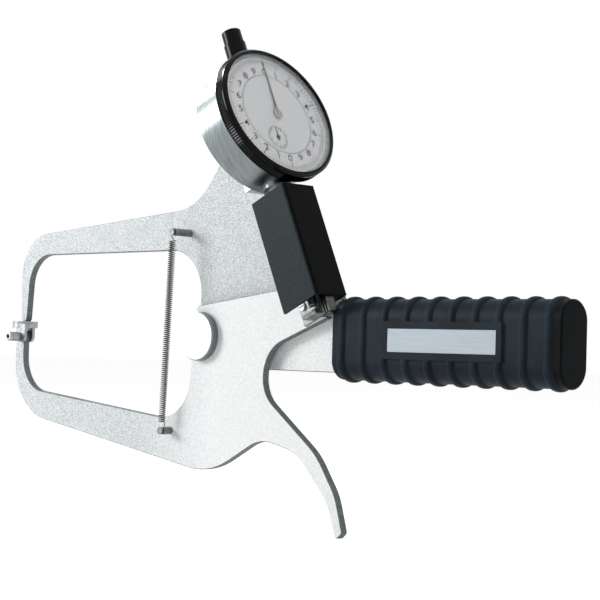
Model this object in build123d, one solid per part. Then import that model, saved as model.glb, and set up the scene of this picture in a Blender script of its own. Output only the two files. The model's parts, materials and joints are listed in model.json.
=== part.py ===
from build123d import *
import os
from math import asin, atan2, cos, degrees, hypot, pi, radians, sin, sqrt, tan

# Dial caliper gauge with a fixed upper jaw, a pivoted lower jaw and a dial read-out.
# Millimetres. The origin is the measuring contact of the upper jaw. +X runs along
# the gauge to the grip, +Z is up and -Y faces the person who reads the dial.
# A depth is a distance towards the reader, so a depth of 3 lies at Y = -3.

# Measuring geometry
JAW_REACH = 131.2
PIVOT_DROP = 5.2
JAW_OPENING = 20.0
PLUNGER_TRAVEL = 10.0
STEM_TILT = 24.8
CONTACT_LEVEL = 20.0
CONTACT_BALL_RADIUS = 2.0
CONTACT_GAP = 0.08
JAW_GAP = 0.05

# Plates and the pivot between them
PLATE_THICKNESS = 3.0
PLATE_GAP = 1.6
RUNNING_GAP = 0.05
SEAT_GAP = 0.3
PIVOT_SHAFT_RADIUS = 4.0
PIVOT_BUSH_RADIUS = 5.5
PIVOT_WASHER_RADIUS = 9.0
PIVOT_CAP_RADIUS = 10.1
PIVOT_CAP_HEIGHT = 3.25
PIVOT_CAP_CHAMFER = 0.5
PIVOT_NUT_WIDTH = 11.0
PIVOT_NUT_HEIGHT = 3.5
PIVOT_THREAD_RADIUS = 3.0
PIVOT_THREAD_END = 0.5
PIVOT_SPIGOT_RADIUS = 2.5
PIVOT_SPIGOT_LENGTH = 2.0
PLATE_EDGE = 0.3

# Corners of the frame plate: X, Z and the radius that turns each one. Those with
# HEAD in their names are measured from the pivot.
UPPER_TIP_LEFT = -1.4
UPPER_TIP_RIGHT = 2.6
UPPER_TIP_RADIUS = 1.8
ARM_OUTER_X = 3.1
ARM_OUTER_TOP = 39.3
ARM_OUTER_RADIUS = 20.0
ARM_INNER_X = 5.2
ARM_INNER_TOP = 30.8
ARM_INNER_RADIUS = 15.0
HEAD_SHOULDER = (-10.4, 48.6, 28.0)
HEAD_ABOVE_DIAL_AXIS = 12.6
HEAD_BEHIND_BLOCK = 1.8
HEAD_CORNER_RADIUS = 3.0
HEAD_BELLY_X = -6.4
HEAD_BELLY_TOP = 31.0
HEAD_BELLY_RADIUS = 19.0
TANG_HEEL_X = -6.2
TANG_HEEL_RADIUS = 10.0
TANG_CORNER_RADIUS = 2.0
NECK_RADIUS = 0.5
COVER_CORNER_RADIUS = 1.0
COVER_FOOT_RADIUS = 0.6

# Spring posts and the tension spring between them
POST_RADIUS = 1.55
POST_GROOVE_RADIUS = 1.1
POST_GROOVE_WIDTH = 0.9
POST_HEAD = 0.6
UPPER_POST = (-14.3, 43.1)
LOWER_POST = (-18.0, -39.7)
SPRING_DEPTH = 11.0
SPRING_WIRE = 0.4
SPRING_MEAN_RADIUS = 1.32
SPRING_CURLS = 90
SPRING_NECK = 2.2
POST_SHANK_RADIUS = 1.0

# Anvil on the lower jaw
ANVIL_RADIUS = 5.8
ANVIL_HEIGHT = 3.05
ANVIL_CENTRE_X = 2.9
ANVIL_CENTRE_DEPTH = 2.3
SADDLE_LEG_THICKNESS = 1.4
SADDLE_LEG_WIDTH = 6.6
SADDLE_LEG_LENGTH = 6.6
SADDLE_CENTRE_X = 6.4
ANVIL_SCREW_X = 5.4
ANVIL_SCREW_Z = -7.2
ANVIL_SCREW_RADIUS = 1.0
ANVIL_SCREW_HEAD_RADIUS = 2.1
ANVIL_SCREW_HEAD = 6.1

# Cover over the plunger. Its sides are measured from the plunger's axis, and its right
# side stands out past the frame plate.
COVER_TO_LEFT = 8.15
COVER_TO_RIGHT = 10.75
COVER_ABOVE_CONTACT = 2.94
COVER_TO_BOSS = 3.3
COVER_OVERHANG = 3.2
COVER_DEPTH = 16.4
COVER_WALL = 1.2
COVER_EDGE_RADIUS = 1.6
COVER_SLOT_DROP = 21.5
COVER_SCREW_RADIUS = 1.25
COVER_SCREW_LENGTH = 3.0
COVER_SCREW_INSET = 3.6
COVER_SCREW_DROP = 6.0
COVER_SCREW_PITCH = 20.0
COVER_BOSS_RADIUS = 2.2
COVER_BOSS_LENGTH = 4.0

# Stop block under the cover
STOP_WIDTH = 3.2
STOP_BELOW_CONTACT = 3.2
STOP_HEIGHT = 16.0
STOP_BACK_DEPTH = 7.7
STOP_DEPTH = 4.5
STOP_GROOVE = 0.8
STOP_GROOVE_SHARES = (0.3, 0.7)

# Contact tab on the lever. Its sides are measured from the plunger's axis.
TAB_THICKNESS = 1.3
TAB_LEAF_THICKNESS = 1.1
TAB_TO_LEFT = 4.05
TAB_TO_RIGHT = 2.95
TAB_LEAF_TO_LEFT = 9.55
TAB_LEAF_HEIGHT = 8.4
TAB_OVERHANG = 3.1
TAB_SCREW_TO_LEFT = 7.35
TAB_SCREW_HEIGHT = 6.1
TAB_SCREW_HEAD_RADIUS = 1.6
TAB_SCREW_RADIUS = 0.8

# Corners of the lever plate. Those from HEEL on are measured from the pivot.
LEVER_TIP_LEFT = 1.5
LEVER_TIP_RIGHT = 7.6
LEVER_TIP_TOP = -4.2
LEVER_TIP_RADIUS = 2.9
LEVER_KNEE = (1.0, -40.9, 26.0)
LEVER_INNER_KNEE = (7.5, -30.5, 16.0)
HEEL = (6.8, -56.2, 40.0)
TRIGGER_ROOT = (36.5, -40.2, 18.0)
TRIGGER_BELLY = (56.8, -44.2, 20.0)
TRIGGER_BEND = (73.5, -61.3, 22.0)
TRIGGER_TIP = (79.2, -76.0, 1.2)
TRIGGER_TIP_TOP = (82.5, -73.0, 1.6)
TRIGGER_TOP_BEND = (78.3, -59.3, 24.0)
TRIGGER_CROWN = (67.8, -44.4, 30.0)
TRIGGER_THROAT = (37.4, -22.4, 13.0)
LEVER_SHOULDER = (37.4, -5.0, 15.0)
LEVER_HEAD_CORNER = (-3.5, 12.4, 2.0)
LEVER_NECK = (-8.3, -35.9, 18.0)
LEVER_HEAD_BELOW_PIVOT = 5.6
LEVER_HEAD_RADIUS = 3.0
HORN_TO_RIGHT = 3.2
HORN_DROP = 2.84
HORN_RADIUS = 0.4
NOTCH_TO_LEFT = 5.15
NOTCH_HEIGHT = 1.6
NOTCH_RADIUS = 1.0

# Dial housing. Heights run up the stem from the pivot, and face depths run out
# of the dial from the plunger's axis.
DIAL_HEIGHT = 60.9
PLUNGER_DEPTH = 9.71
CASE_RADIUS = 26.0
CASE_BORE = 23.4
CASE_REAR = -6.8
CASE_FRONT = 7.8
SPIGOT_RADIUS = 24.9
SPIGOT_LENGTH = 1.9
SNAP_RING_SIZE = 0.4
CASE_BOSS_RADIUS = 3.0
BACK_THICKNESS = 1.3
BACK_PAD_THICKNESS = 1.6
BACK_SCREW_RADIUS = 0.8
BACK_SCREW_HEAD_RADIUS = 1.5
BACK_SCREW_HEAD = 0.7
BACK_SCREW_DEPTH = 4.0
PLATE_SCREW_DEPTH = 2.0
BOSS_ANGLES = (45, 135, 225, 315)
STEM_RADIUS = 4.0
STEM_BELOW_COVER = 8.0
STEM_BOSS_RADIUS = 6.0
STEM_BOSS_LENGTH = 1.6
PLUNGER_RADIUS = 2.1
PLUNGER_FIT = 0.05
PLUNGER_TOP = 30.6
PLUNGER_ABOVE_CONTACT = 3.0
CONTACT_STUD_RADIUS = 1.0
CONTACT_STUD_LENGTH = 3.0
UPPER_BUSH_RADIUS = 3.2
UPPER_BUSH_LENGTH = 5.0
CAP_COLLAR_RADIUS = 4.45
CAP_COLLAR_TOP = 38.0
CAP_RADIUS = 4.0
CAP_TOP = 43.8
CAP_BORE = 2.9
CAP_SPIGOT_LENGTH = 3.5

# Bezel and what turns with it
BEZEL_RADIUS = 28.5
BEZEL_FRONT = 13.0
BEZEL_SEAT = 10.3
BEZEL_BORE = 27.2
KNURL_LENGTH = 3.0
KNURL_MARGIN = 0.25
BEZEL_EDGE = 0.9
BEZEL_GROOVE = 0.5
KNURL_COUNT = 170
KNURL_DEPTH = 0.3
LIP_RADIUS = 26.6
LIP_THICKNESS = 0.4
CRYSTAL_THICKNESS = 0.8
DIAL_THICKNESS = 0.5
RING_INNER_RADIUS = 17.55
DIAL_SPLIT = 0.3
REFLECTOR_FOOT_RADIUS = 25.4
DIAL_HOLE_RADIUS = 1.0

# Movement
RACK_PITCH_LINE = 1.75
RACK_PINION_TEETH = 16
RACK_PINION_LENGTH = 2.0
GEAR_TEETH = 100
CENTRE_PINION_TEETH = 10
COUNTER_DROP = 10.7
TAKE_UP_ANGLE = 45.0
GEAR_THICKNESS = 0.5
REAR_PLATE_FACE = 2.3
MOVEMENT_PLATE_THICKNESS = 0.8
FRONT_PLATE_FACE = 5.2
FRONT_PLATE_RADIUS = 16.0
GEAR_FACE = 3.4
TAKE_UP_FACE = 4.3
ARBOR_RADIUS = 0.6
ARBOR_FIT = 0.05
PILLAR_RADIUS = 1.3
PILLAR_CIRCLE = 20.8
FRONT_PILLAR_CIRCLE = 14.0
PILLAR_ANGLES = (135, 195, -15)
MOVEMENT_SCREW_RADIUS = 0.6
MOVEMENT_SCREW_HEAD_RADIUS = 1.2
MOVEMENT_SCREW_HEAD = 0.6
HAND_LENGTH = 24.0
HAND_TAIL = 1.0
HAND_THICKNESS = 0.2
HAND_ROOT = 0.6
HAND_TIP = 0.12
HAND_ABOVE_DIAL = 0.55
HUB_ABOVE_DIAL = 0.45
HUB_BELOW_CRYSTAL = 0.15
HAND_HUB_RADIUS = 2.1
COUNTER_HAND_LENGTH = 4.3
COUNTER_HAND_TAIL = 1.6
COUNTER_HAND_ROOT = 0.35
COUNTER_ABOVE_DIAL = 0.15
COUNTER_HUB_RADIUS = 0.9
HAIRSPRING_TURNS = 4
HAIRSPRING_PITCH = 0.8
HAIRSPRING_START = 1.1
HAIRSPRING_SECTION = 0.3
HAIRSPRING_HEIGHT = 0.6
GUIDE_PIN_RADIUS = 0.6
GUIDE_PIN_HEIGHT = 0.0
GUIDE_PIN_END = -4.4
GUIDE_RAIL_FRONT = -3.6
GUIDE_RAIL_MARGIN = 2.5

# Mounting block between the frame plate and the back of the dial
BLOCK_LENGTH = 6.7
BLOCK_HEIGHT = 18.0
BLOCK_BELOW_DIAL_AXIS = 4.4
BLOCK_SCREW_INSET = 5.0
BLOCK_DEPTH = 12.0
BLOCK_SCREW_RADIUS = 1.25
SCREW_HEAD_RADIUS = 2.3
SCREW_HEAD_HEIGHT = 1.5
SCREW_SLOT = 0.5

# Grip
GRIP_START = 75.85
GRIP_LENGTH = 106.5
GRIP_HEIGHT = 30.8
GRIP_THICKNESS = 15.0
GRIP_RIBS = 10
GRIP_RIB_WIDTH = 3.4
GRIP_RIB_HEIGHT = 1.0
GRIP_FIRST_RIB = 4.9
GRIP_LAST_RIB = 5.6
GRIP_RIB_CHAMFER = 0.8
PANEL_HEIGHT_ABOVE_GRIP = 1.0
GRIP_END_CAP = 3.4
GRIP_END_EDGE = 0.6
CORE_HEIGHT = 26.0
CORE_THICKNESS = 8.4
CORE_END_WALL = 4.0
RIVET_RADIUS = 2.0
TANG_HEIGHT = 25.6
TANG_LENGTH = 96.0
FIRST_RIVET = 22.0
LAST_RIVET = 16.0
PANEL_START = 26.6
PANEL_TO_END = 24.8
PANEL_HEIGHT = 13.9
LABEL_MARGIN = 2.4
LABEL_HEIGHT = 8.5
LABEL_THICKNESS = 0.5
LABEL_RECESS = 0.6

# Worked out from the sizes above
LEVER_BACK = PLATE_THICKNESS / 2 + PLATE_GAP
LEVER_FRONT = LEVER_BACK + PLATE_THICKNESS
FRAME_FRONT = PLATE_THICKNESS / 2
CONTACT_RADIUS = hypot(JAW_REACH, PIVOT_DROP)
LEVER_SWING = 2 * asin(JAW_OPENING / 2 / CONTACT_RADIUS)
BALL_LEVEL = CONTACT_LEVEL - CONTACT_BALL_RADIUS
PLUNGER_REACH = (PLUNGER_TRAVEL + BALL_LEVEL * (1 / cos(LEVER_SWING) - 1)) / tan(LEVER_SWING)
RACK_PITCH = PLUNGER_TRAVEL / RACK_PINION_TEETH
RACK_MODULE = RACK_PITCH / pi
COUNTER_SIDE = -(RACK_PITCH_LINE + RACK_MODULE * RACK_PINION_TEETH / 2)
GEAR_DISTANCE = hypot(COUNTER_SIDE, COUNTER_DROP)
GEAR_MODULE = 2 * GEAR_DISTANCE / (GEAR_TEETH + CENTRE_PINION_TEETH)
DIAL_FACE = BEZEL_SEAT + DIAL_THICKNESS
COVER_LEFT = PLUNGER_REACH - COVER_TO_LEFT
COVER_RIGHT = PLUNGER_REACH + COVER_TO_RIGHT
COVER_BACKED = COVER_RIGHT - COVER_OVERHANG
COVER_BOTTOM = COVER_ABOVE_CONTACT - CONTACT_LEVEL
COVER_TOP = DIAL_HEIGHT - CASE_RADIUS - STEM_BOSS_LENGTH - COVER_TO_BOSS
COVER_SLOT_TOP = COVER_TOP - COVER_SLOT_DROP
STOP_BOTTOM = -CONTACT_LEVEL - STOP_BELOW_CONTACT
TAB_LEFT = PLUNGER_REACH - TAB_TO_LEFT
TAB_RIGHT = PLUNGER_REACH + TAB_TO_RIGHT
TAB_LEAF_LEFT = PLUNGER_REACH - TAB_LEAF_TO_LEFT
TAB_SCREW_AT = (PLUNGER_REACH - TAB_SCREW_TO_LEFT, TAB_SCREW_HEIGHT - CONTACT_LEVEL)
STEM_BOTTOM = COVER_TOP - STEM_BELOW_COVER
BLOCK_TOP = DIAL_HEIGHT - BLOCK_BELOW_DIAL_AXIS
BLOCK_BOTTOM = BLOCK_TOP - BLOCK_HEIGHT
PANEL_END = GRIP_LENGTH - PANEL_TO_END
GRIP_RIB_PITCH = (GRIP_LENGTH - GRIP_FIRST_RIB - GRIP_LAST_RIB) / (GRIP_RIBS - 1)
RIVET_PLACES = (FIRST_RIVET, TANG_LENGTH - LAST_RIVET)

tilt = radians(STEM_TILT)
pivot = Vector(JAW_REACH, 0, -PIVOT_DROP)
along = Vector(cos(tilt), 0, sin(tilt))
up_stem = Vector(-sin(tilt), 0, cos(tilt))

# Side views draw X, Z and the depth. The stem view draws the same, turned with the
# stem about the pivot. The face view draws right, up the stem and out of the dial.
side = Plane(origin=(0, 0, 0), x_dir=(1, 0, 0), z_dir=(0, -1, 0)).location
hub = Plane(origin=pivot, x_dir=(1, 0, 0), z_dir=(0, -1, 0)).location
stem_view = Plane(origin=pivot, x_dir=along, z_dir=(0, -1, 0)).location
dial_centre = pivot + along * PLUNGER_REACH + up_stem * DIAL_HEIGHT - Vector(0, PLUNGER_DEPTH, 0)
face_view = Plane(origin=dial_centre, x_dir=(0, 1, 0), z_dir=along).location
plunger_view = Plane(origin=dial_centre, x_dir=(0, 1, 0), z_dir=up_stem).location

CENTRED = (Align.CENTER, Align.CENTER, Align.MIN)


def disc(view, radius, low, high, at=(0, 0)):
    """A round bar square to a view, from one depth to another."""
    return view * Pos(at[0], at[1], low) * Cylinder(radius, high - low, align=CENTRED)


def tube(view, radius, bore, low, high, at=(0, 0)):
    """A round bar with a hole through it."""
    return disc(view, radius, low, high, at) - disc(view, bore, low - 1, high + 1, at)


def block(view, first, second, low, high):
    """A box between two corners of a view, from one depth to another."""
    width = second[0] - first[0]
    height = second[1] - first[1]
    solid = Box(width, height, high - low, align=(Align.MIN, Align.MIN, Align.MIN))
    return view * Pos(first[0], first[1], low) * solid


def rounded_plate(view, corners, low, high, edge=0.0):
    """A plate whose outline turns each corner (x, z, radius) on a tangent arc."""
    points = [(x, z) for x, z, radius in corners]
    radii = [radius for x, z, radius in corners]
    outline = FilletPolyline(*points, radius=radii, close=True)
    plate = extrude(make_face(outline), high - low, dir=(0, 0, 1))
    if edge:
        plate = chamfer(plate.faces().sort_by(Axis.Z)[-1].edges(), edge)
    return view * Pos(0, 0, low) * plate


def polygon_plate(view, points, low, high):
    """A plate with a sharp-cornered outline."""
    outline = Polyline(*points, close=True)
    return view * Pos(0, 0, low) * extrude(make_face(outline), high - low, dir=(0, 0, 1))


def slotted_screw(view, at, seat, tip, radius, head_radius, head_height):
    """A cheese-head screw seated on one depth, with its tip at another."""
    outward = 1 if seat > tip else -1
    top = seat + outward * head_height
    head = disc(view, head_radius, min(seat, top), max(seat, top), at)
    shank = disc(view, radius, min(seat, tip), max(seat, tip), at)
    slot_floor = top - outward * head_height / 2
    half = SCREW_SLOT / 2
    slot = block(
        view,
        (at[0] - head_radius, at[1] - half),
        (at[0] + head_radius, at[1] + half),
        min(slot_floor, top),
        max(slot_floor, top),
    )
    return head + shank - slot


def from_stem(p, s):
    """A point along and up the stem, as X and Z of the side view."""
    point = pivot + along * p + up_stem * s
    return (point.X, point.Z)


# Fixed body: frame plate, pivot, posts, cover and mounting block

TANG_END = JAW_REACH + GRIP_START + TANG_LENGTH
TANG_TOP = TANG_HEIGHT / 2 - PIVOT_DROP
TANG_BOTTOM = -TANG_HEIGHT / 2 - PIVOT_DROP
BLOCK_FRONT = PLUNGER_REACH + CASE_REAR
BLOCK_BACK = BLOCK_FRONT - BLOCK_LENGTH
BLOCK_CENTRE = (BLOCK_FRONT + BLOCK_BACK) / 2
BLOCK_SCREW_HEIGHTS = (BLOCK_BOTTOM + BLOCK_SCREW_INSET, BLOCK_TOP - BLOCK_SCREW_INSET)
COVER_SCREWS = (
    (COVER_LEFT + COVER_SCREW_INSET, COVER_TOP - COVER_SCREW_DROP),
    (COVER_BACKED - COVER_SCREW_INSET, COVER_TOP - COVER_SCREW_DROP),
    (COVER_BACKED - COVER_SCREW_INSET, COVER_TOP - COVER_SCREW_DROP - COVER_SCREW_PITCH),
)


def frame_plate():
    head_top = DIAL_HEIGHT + HEAD_ABOVE_DIAL_AXIS
    block_edge = BLOCK_FRONT - SEAT_GAP
    cover_corner = from_stem(COVER_BACKED, COVER_BOTTOM)
    neck = JAW_REACH + GRIP_START - SEAT_GAP
    corners = [
        (UPPER_TIP_LEFT, 0, UPPER_TIP_RADIUS),
        (-ARM_OUTER_X, ARM_OUTER_TOP, ARM_OUTER_RADIUS),
        (JAW_REACH + HEAD_SHOULDER[0], *HEAD_SHOULDER[1:]),
        (*from_stem(BLOCK_BACK - HEAD_BEHIND_BLOCK, head_top), HEAD_CORNER_RADIUS),
        (*from_stem(block_edge, head_top), HEAD_CORNER_RADIUS),
        (*from_stem(block_edge, COVER_TOP), COVER_CORNER_RADIUS),
        (*from_stem(COVER_BACKED, COVER_TOP), COVER_CORNER_RADIUS),
        (*cover_corner, COVER_FOOT_RADIUS),
        (neck, cover_corner[1], NECK_RADIUS),
        (neck, TANG_TOP, NECK_RADIUS),
        (TANG_END, TANG_TOP, TANG_CORNER_RADIUS),
        (TANG_END, TANG_BOTTOM, TANG_CORNER_RADIUS),
        (JAW_REACH + TANG_HEEL_X, TANG_BOTTOM, TANG_HEEL_RADIUS),
        (JAW_REACH + HEAD_BELLY_X, HEAD_BELLY_TOP, HEAD_BELLY_RADIUS),
        (ARM_INNER_X, ARM_INNER_TOP, ARM_INNER_RADIUS),
        (UPPER_TIP_RIGHT, 0, UPPER_TIP_RADIUS),
    ]
    back = -PLATE_THICKNESS / 2
    plate = rounded_plate(side, corners, back, FRAME_FRONT, PLATE_EDGE)
    plate -= disc(hub, PIVOT_SHAFT_RADIUS, back, FRAME_FRONT)
    plate -= disc(hub, POST_SHANK_RADIUS, back, FRAME_FRONT, UPPER_POST)
    for at in COVER_SCREWS:
        plate -= disc(stem_view, COVER_SCREW_RADIUS, back, FRAME_FRONT, at)
    for height in BLOCK_SCREW_HEIGHTS:
        at = (BLOCK_CENTRE, height)
        plate -= disc(stem_view, BLOCK_SCREW_RADIUS, back, FRAME_FRONT, at)
    for place in RIVET_PLACES:
        plate -= disc(hub, RIVET_RADIUS, back, FRAME_FRONT, (GRIP_START + place, 0))
    return plate


def spring_post(at, seat):
    groove_low = SPRING_DEPTH - POST_GROOVE_WIDTH / 2
    groove_high = SPRING_DEPTH + POST_GROOVE_WIDTH / 2
    post = disc(hub, POST_RADIUS, seat, groove_low, at)
    post += disc(hub, POST_GROOVE_RADIUS, groove_low, groove_high, at)
    post += disc(hub, POST_RADIUS, groove_high, groove_high + POST_HEAD, at)
    post += disc(hub, POST_SHANK_RADIUS, seat - PLATE_THICKNESS, seat, at)
    return post


CAP_SEAT = LEVER_FRONT + RUNNING_GAP


def pivot_pin():
    pin = disc(hub, PIVOT_SHAFT_RADIUS, -FRAME_FRONT, CAP_SEAT)
    pin += disc(hub, PIVOT_SPIGOT_RADIUS, CAP_SEAT, CAP_SEAT + PIVOT_SPIGOT_LENGTH)
    thread_end = -FRAME_FRONT - PIVOT_NUT_HEIGHT - PIVOT_THREAD_END
    pin += disc(hub, PIVOT_THREAD_RADIUS, thread_end, -FRAME_FRONT)
    return pin


def pivot_cap():
    cap = Pos(0, 0, CAP_SEAT) * Cylinder(PIVOT_CAP_RADIUS, PIVOT_CAP_HEIGHT, align=CENTRED)
    cap = chamfer(cap.edges().sort_by(Axis.Z)[-1], PIVOT_CAP_CHAMFER)
    return hub * cap - disc(hub, PIVOT_SPIGOT_RADIUS, CAP_SEAT, CAP_SEAT + PIVOT_SPIGOT_LENGTH)


def pivot_washer():
    return tube(hub, PIVOT_WASHER_RADIUS, PIVOT_SHAFT_RADIUS, FRAME_FRONT, LEVER_BACK - RUNNING_GAP)


def pivot_nut():
    nut = extrude(RegularPolygon(PIVOT_NUT_WIDTH / 2, 6, major_radius=False), PIVOT_NUT_HEIGHT)
    nut = hub * Pos(0, 0, -FRAME_FRONT - PIVOT_NUT_HEIGHT) * nut
    return nut - disc(hub, PIVOT_THREAD_RADIUS, -FRAME_FRONT - PIVOT_NUT_HEIGHT, -FRAME_FRONT)


def spindle_cover():
    """A box open below, slotted on the left where the lever swings through."""
    size = (COVER_RIGHT - COVER_LEFT, COVER_TOP - COVER_BOTTOM, COVER_DEPTH)
    shell = Box(*size, align=(Align.MIN, Align.MIN, Align.MIN))
    upright = shell.edges().filter_by(Axis.Y)
    front_right = upright.sort_by(lambda edge: edge.center().X + edge.center().Z)[-1]
    shell = fillet(front_right, COVER_EDGE_RADIUS)
    cavity = Box(
        size[0] - 2 * COVER_WALL,
        size[1] - COVER_WALL,
        size[2] - 2 * COVER_WALL,
        align=(Align.MIN, Align.MIN, Align.MIN),
    )
    shell -= Pos(COVER_WALL, 0, COVER_WALL) * cavity
    shell = stem_view * Pos(COVER_LEFT, COVER_BOTTOM, FRAME_FRONT) * shell
    shell -= block(
        stem_view,
        (COVER_LEFT - 1, COVER_BOTTOM - 1),
        (COVER_LEFT + COVER_WALL, COVER_SLOT_TOP),
        FRAME_FRONT,
        FRAME_FRONT + COVER_DEPTH - COVER_WALL,
    )
    shell -= plunger_hole(STEM_RADIUS)
    for at in COVER_SCREWS:
        boss = disc(stem_view, COVER_BOSS_RADIUS, FRAME_FRONT, FRAME_FRONT + COVER_BOSS_LENGTH, at)
        wall_side = COVER_LEFT if at[0] < (COVER_LEFT + COVER_RIGHT) / 2 else COVER_RIGHT
        web = block(
            stem_view,
            (min(at[0], wall_side), at[1] - COVER_BOSS_RADIUS),
            (max(at[0], wall_side), at[1] + COVER_BOSS_RADIUS),
            FRAME_FRONT,
            FRAME_FRONT + COVER_BOSS_LENGTH,
        )
        shell += boss + web
        shell -= disc(stem_view, COVER_SCREW_RADIUS, FRAME_FRONT, FRAME_FRONT + COVER_SCREW_LENGTH, at)
    return shell


def plunger_hole(radius):
    """A hole down the plunger's axis through the top of the cover."""
    top = COVER_TOP - DIAL_HEIGHT
    return disc(plunger_view, radius, top - 2 * COVER_WALL, top + COVER_WALL)


def cover_screws():
    screws = [
        slotted_screw(
            stem_view, at, -FRAME_FRONT, FRAME_FRONT + COVER_SCREW_LENGTH, COVER_SCREW_RADIUS,
            SCREW_HEAD_RADIUS, SCREW_HEAD_HEIGHT,
        )
        for at in COVER_SCREWS
    ]
    return Compound(children=screws)


def stop_block():
    right = COVER_RIGHT - COVER_WALL
    left = right - STOP_WIDTH
    front = STOP_BACK_DEPTH + STOP_DEPTH
    top = STOP_BOTTOM + STOP_HEIGHT
    body = block(stem_view, (left, STOP_BOTTOM), (right, top), STOP_BACK_DEPTH, front)
    for share in STOP_GROOVE_SHARES:
        middle = left + STOP_WIDTH * share
        body -= block(
            stem_view,
            (middle - STOP_GROOVE / 2, STOP_BOTTOM),
            (middle + STOP_GROOVE / 2, top),
            front - STOP_GROOVE,
            front,
        )
    return body


def mounting_block():
    body = block(
        stem_view,
        (BLOCK_BACK, BLOCK_BOTTOM),
        (BLOCK_FRONT, BLOCK_TOP),
        FRAME_FRONT,
        FRAME_FRONT + BLOCK_DEPTH,
    )
    for height in BLOCK_SCREW_HEIGHTS:
        at = (BLOCK_CENTRE, height)
        body -= disc(stem_view, BLOCK_SCREW_RADIUS, FRAME_FRONT, BLOCK_SCREW_TIP, at)
        body -= disc(face_view, BLOCK_SCREW_RADIUS, CASE_REAR - BLOCK_LENGTH, CASE_REAR, lug_place(height))
    return body


BLOCK_SCREW_TIP = FRAME_FRONT + BLOCK_DEPTH / 2 - BLOCK_SCREW_RADIUS - SEAT_GAP
LUG_SIDE = PLUNGER_DEPTH - FRAME_FRONT - BLOCK_DEPTH / 2


def lug_place(height):
    """Where a screw from the block meets the case back, seen from the face."""
    return (LUG_SIDE, height - DIAL_HEIGHT)


def block_screws():
    screws = [
        slotted_screw(
            stem_view, (BLOCK_CENTRE, height), -FRAME_FRONT, BLOCK_SCREW_TIP,
            BLOCK_SCREW_RADIUS, SCREW_HEAD_RADIUS, SCREW_HEAD_HEIGHT,
        )
        for height in BLOCK_SCREW_HEIGHTS
    ]
    return Compound(children=screws)


def lug_screws():
    tip = CASE_REAR + BACK_THICKNESS + BACK_PAD_THICKNESS
    screws = [
        slotted_screw(
            face_view, lug_place(height), CASE_REAR - BLOCK_LENGTH, tip,
            BLOCK_SCREW_RADIUS, SCREW_HEAD_RADIUS, SCREW_HEAD_HEIGHT,
        )
        for height in BLOCK_SCREW_HEIGHTS
    ]
    return Compound(children=screws)


# Grip: rubber sleeve over two core halves that are riveted to the tang

grip_view = Plane(
    origin=pivot + Vector(GRIP_START, 0, 0), x_dir=(0, 1, 0), z_dir=(1, 0, 0)
).location
CAP_START = GRIP_LENGTH - GRIP_END_CAP


def stadium(extra, start, end, edge=0.0, broken=(0, -1)):
    """A bar of the grip's section, grown all round; broken names the ends it chamfers."""
    section = SlotOverall(GRIP_HEIGHT + 2 * extra, GRIP_THICKNESS + 2 * extra, rotation=90)
    bar = extrude(section, end - start)
    if edge:
        ends = bar.faces().sort_by(Axis.Z)
        bar = chamfer([rim for end in broken for rim in ends[end].edges()], edge)
    return grip_view * Pos(0, 0, start) * bar


def grip_box(height, back, front, start, end):
    """A box inside the grip, from one depth to another."""
    return block(grip_view, (-front, -height / 2), (-back, height / 2), start, end)


def grip_sleeve():
    sleeve = stadium(0, 0, CAP_START)
    for i in range(GRIP_RIBS):
        centre = GRIP_FIRST_RIB + i * GRIP_RIB_PITCH
        half = GRIP_RIB_WIDTH / 2
        sleeve += stadium(GRIP_RIB_HEIGHT, centre - half, centre + half, GRIP_RIB_CHAMFER)
    face = GRIP_THICKNESS / 2
    platform = face + PANEL_HEIGHT_ABOVE_GRIP
    sleeve -= grip_box(PANEL_HEIGHT, face, face + 2 * GRIP_RIB_HEIGHT, PANEL_START, PANEL_END)
    sleeve += grip_box(PANEL_HEIGHT, face - GRIP_RIB_HEIGHT, platform, PANEL_START, PANEL_END)
    sleeve -= grip_box(
        LABEL_HEIGHT, platform - LABEL_RECESS, platform + LABEL_THICKNESS,
        PANEL_START + LABEL_MARGIN, PANEL_END - LABEL_MARGIN,
    )
    half_core = CORE_THICKNESS / 2
    sleeve -= grip_box(CORE_HEIGHT, -half_core, half_core, CORE_END_WALL, CAP_START)
    sleeve -= grip_box(TANG_HEIGHT, -FRAME_FRONT, FRAME_FRONT, -1, CORE_END_WALL)
    return sleeve


def name_plate():
    floor = GRIP_THICKNESS / 2 + PANEL_HEIGHT_ABOVE_GRIP - LABEL_RECESS
    return grip_box(
        LABEL_HEIGHT, floor, floor + LABEL_THICKNESS,
        PANEL_START + LABEL_MARGIN, PANEL_END - LABEL_MARGIN,
    )


def grip_core(facing):
    """One half of the core; facing is 1 for the front half and -1 for the rear."""
    near = FRAME_FRONT * facing
    far = CORE_THICKNESS / 2 * facing
    core = grip_box(CORE_HEIGHT, min(near, far), max(near, far), CORE_END_WALL, CAP_START)
    for place in RIVET_PLACES:
        core -= disc(hub, RIVET_RADIUS, min(near, far), max(near, far), (GRIP_START + place, 0))
    return core


def grip_rivets():
    half_core = CORE_THICKNESS / 2
    rivets = [
        disc(hub, RIVET_RADIUS, -half_core, half_core, (GRIP_START + place, 0))
        for place in RIVET_PLACES
    ]
    return Compound(children=rivets)


def grip_end_cap():
    return stadium(0, CAP_START, GRIP_LENGTH, GRIP_END_EDGE, broken=(-1,))


# Dial housing: case, back, stem, upper bush and dust cap

BOSS_START = CASE_REAR + BACK_THICKNESS
SPIGOT_FRONT = CASE_FRONT + SPIGOT_LENGTH
SNAP_RING_FACE = CASE_FRONT + SPIGOT_LENGTH / 2 - SNAP_RING_SIZE / 2
SNAP_RING_BORE = SPIGOT_RADIUS - SNAP_RING_SIZE
SNAP_RING_RADIUS = SPIGOT_RADIUS + SNAP_RING_SIZE


def on_circle(radius, angles):
    """Points on a circle about the dial's centre."""
    return [(radius * cos(radians(angle)), radius * sin(radians(angle))) for angle in angles]


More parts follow.
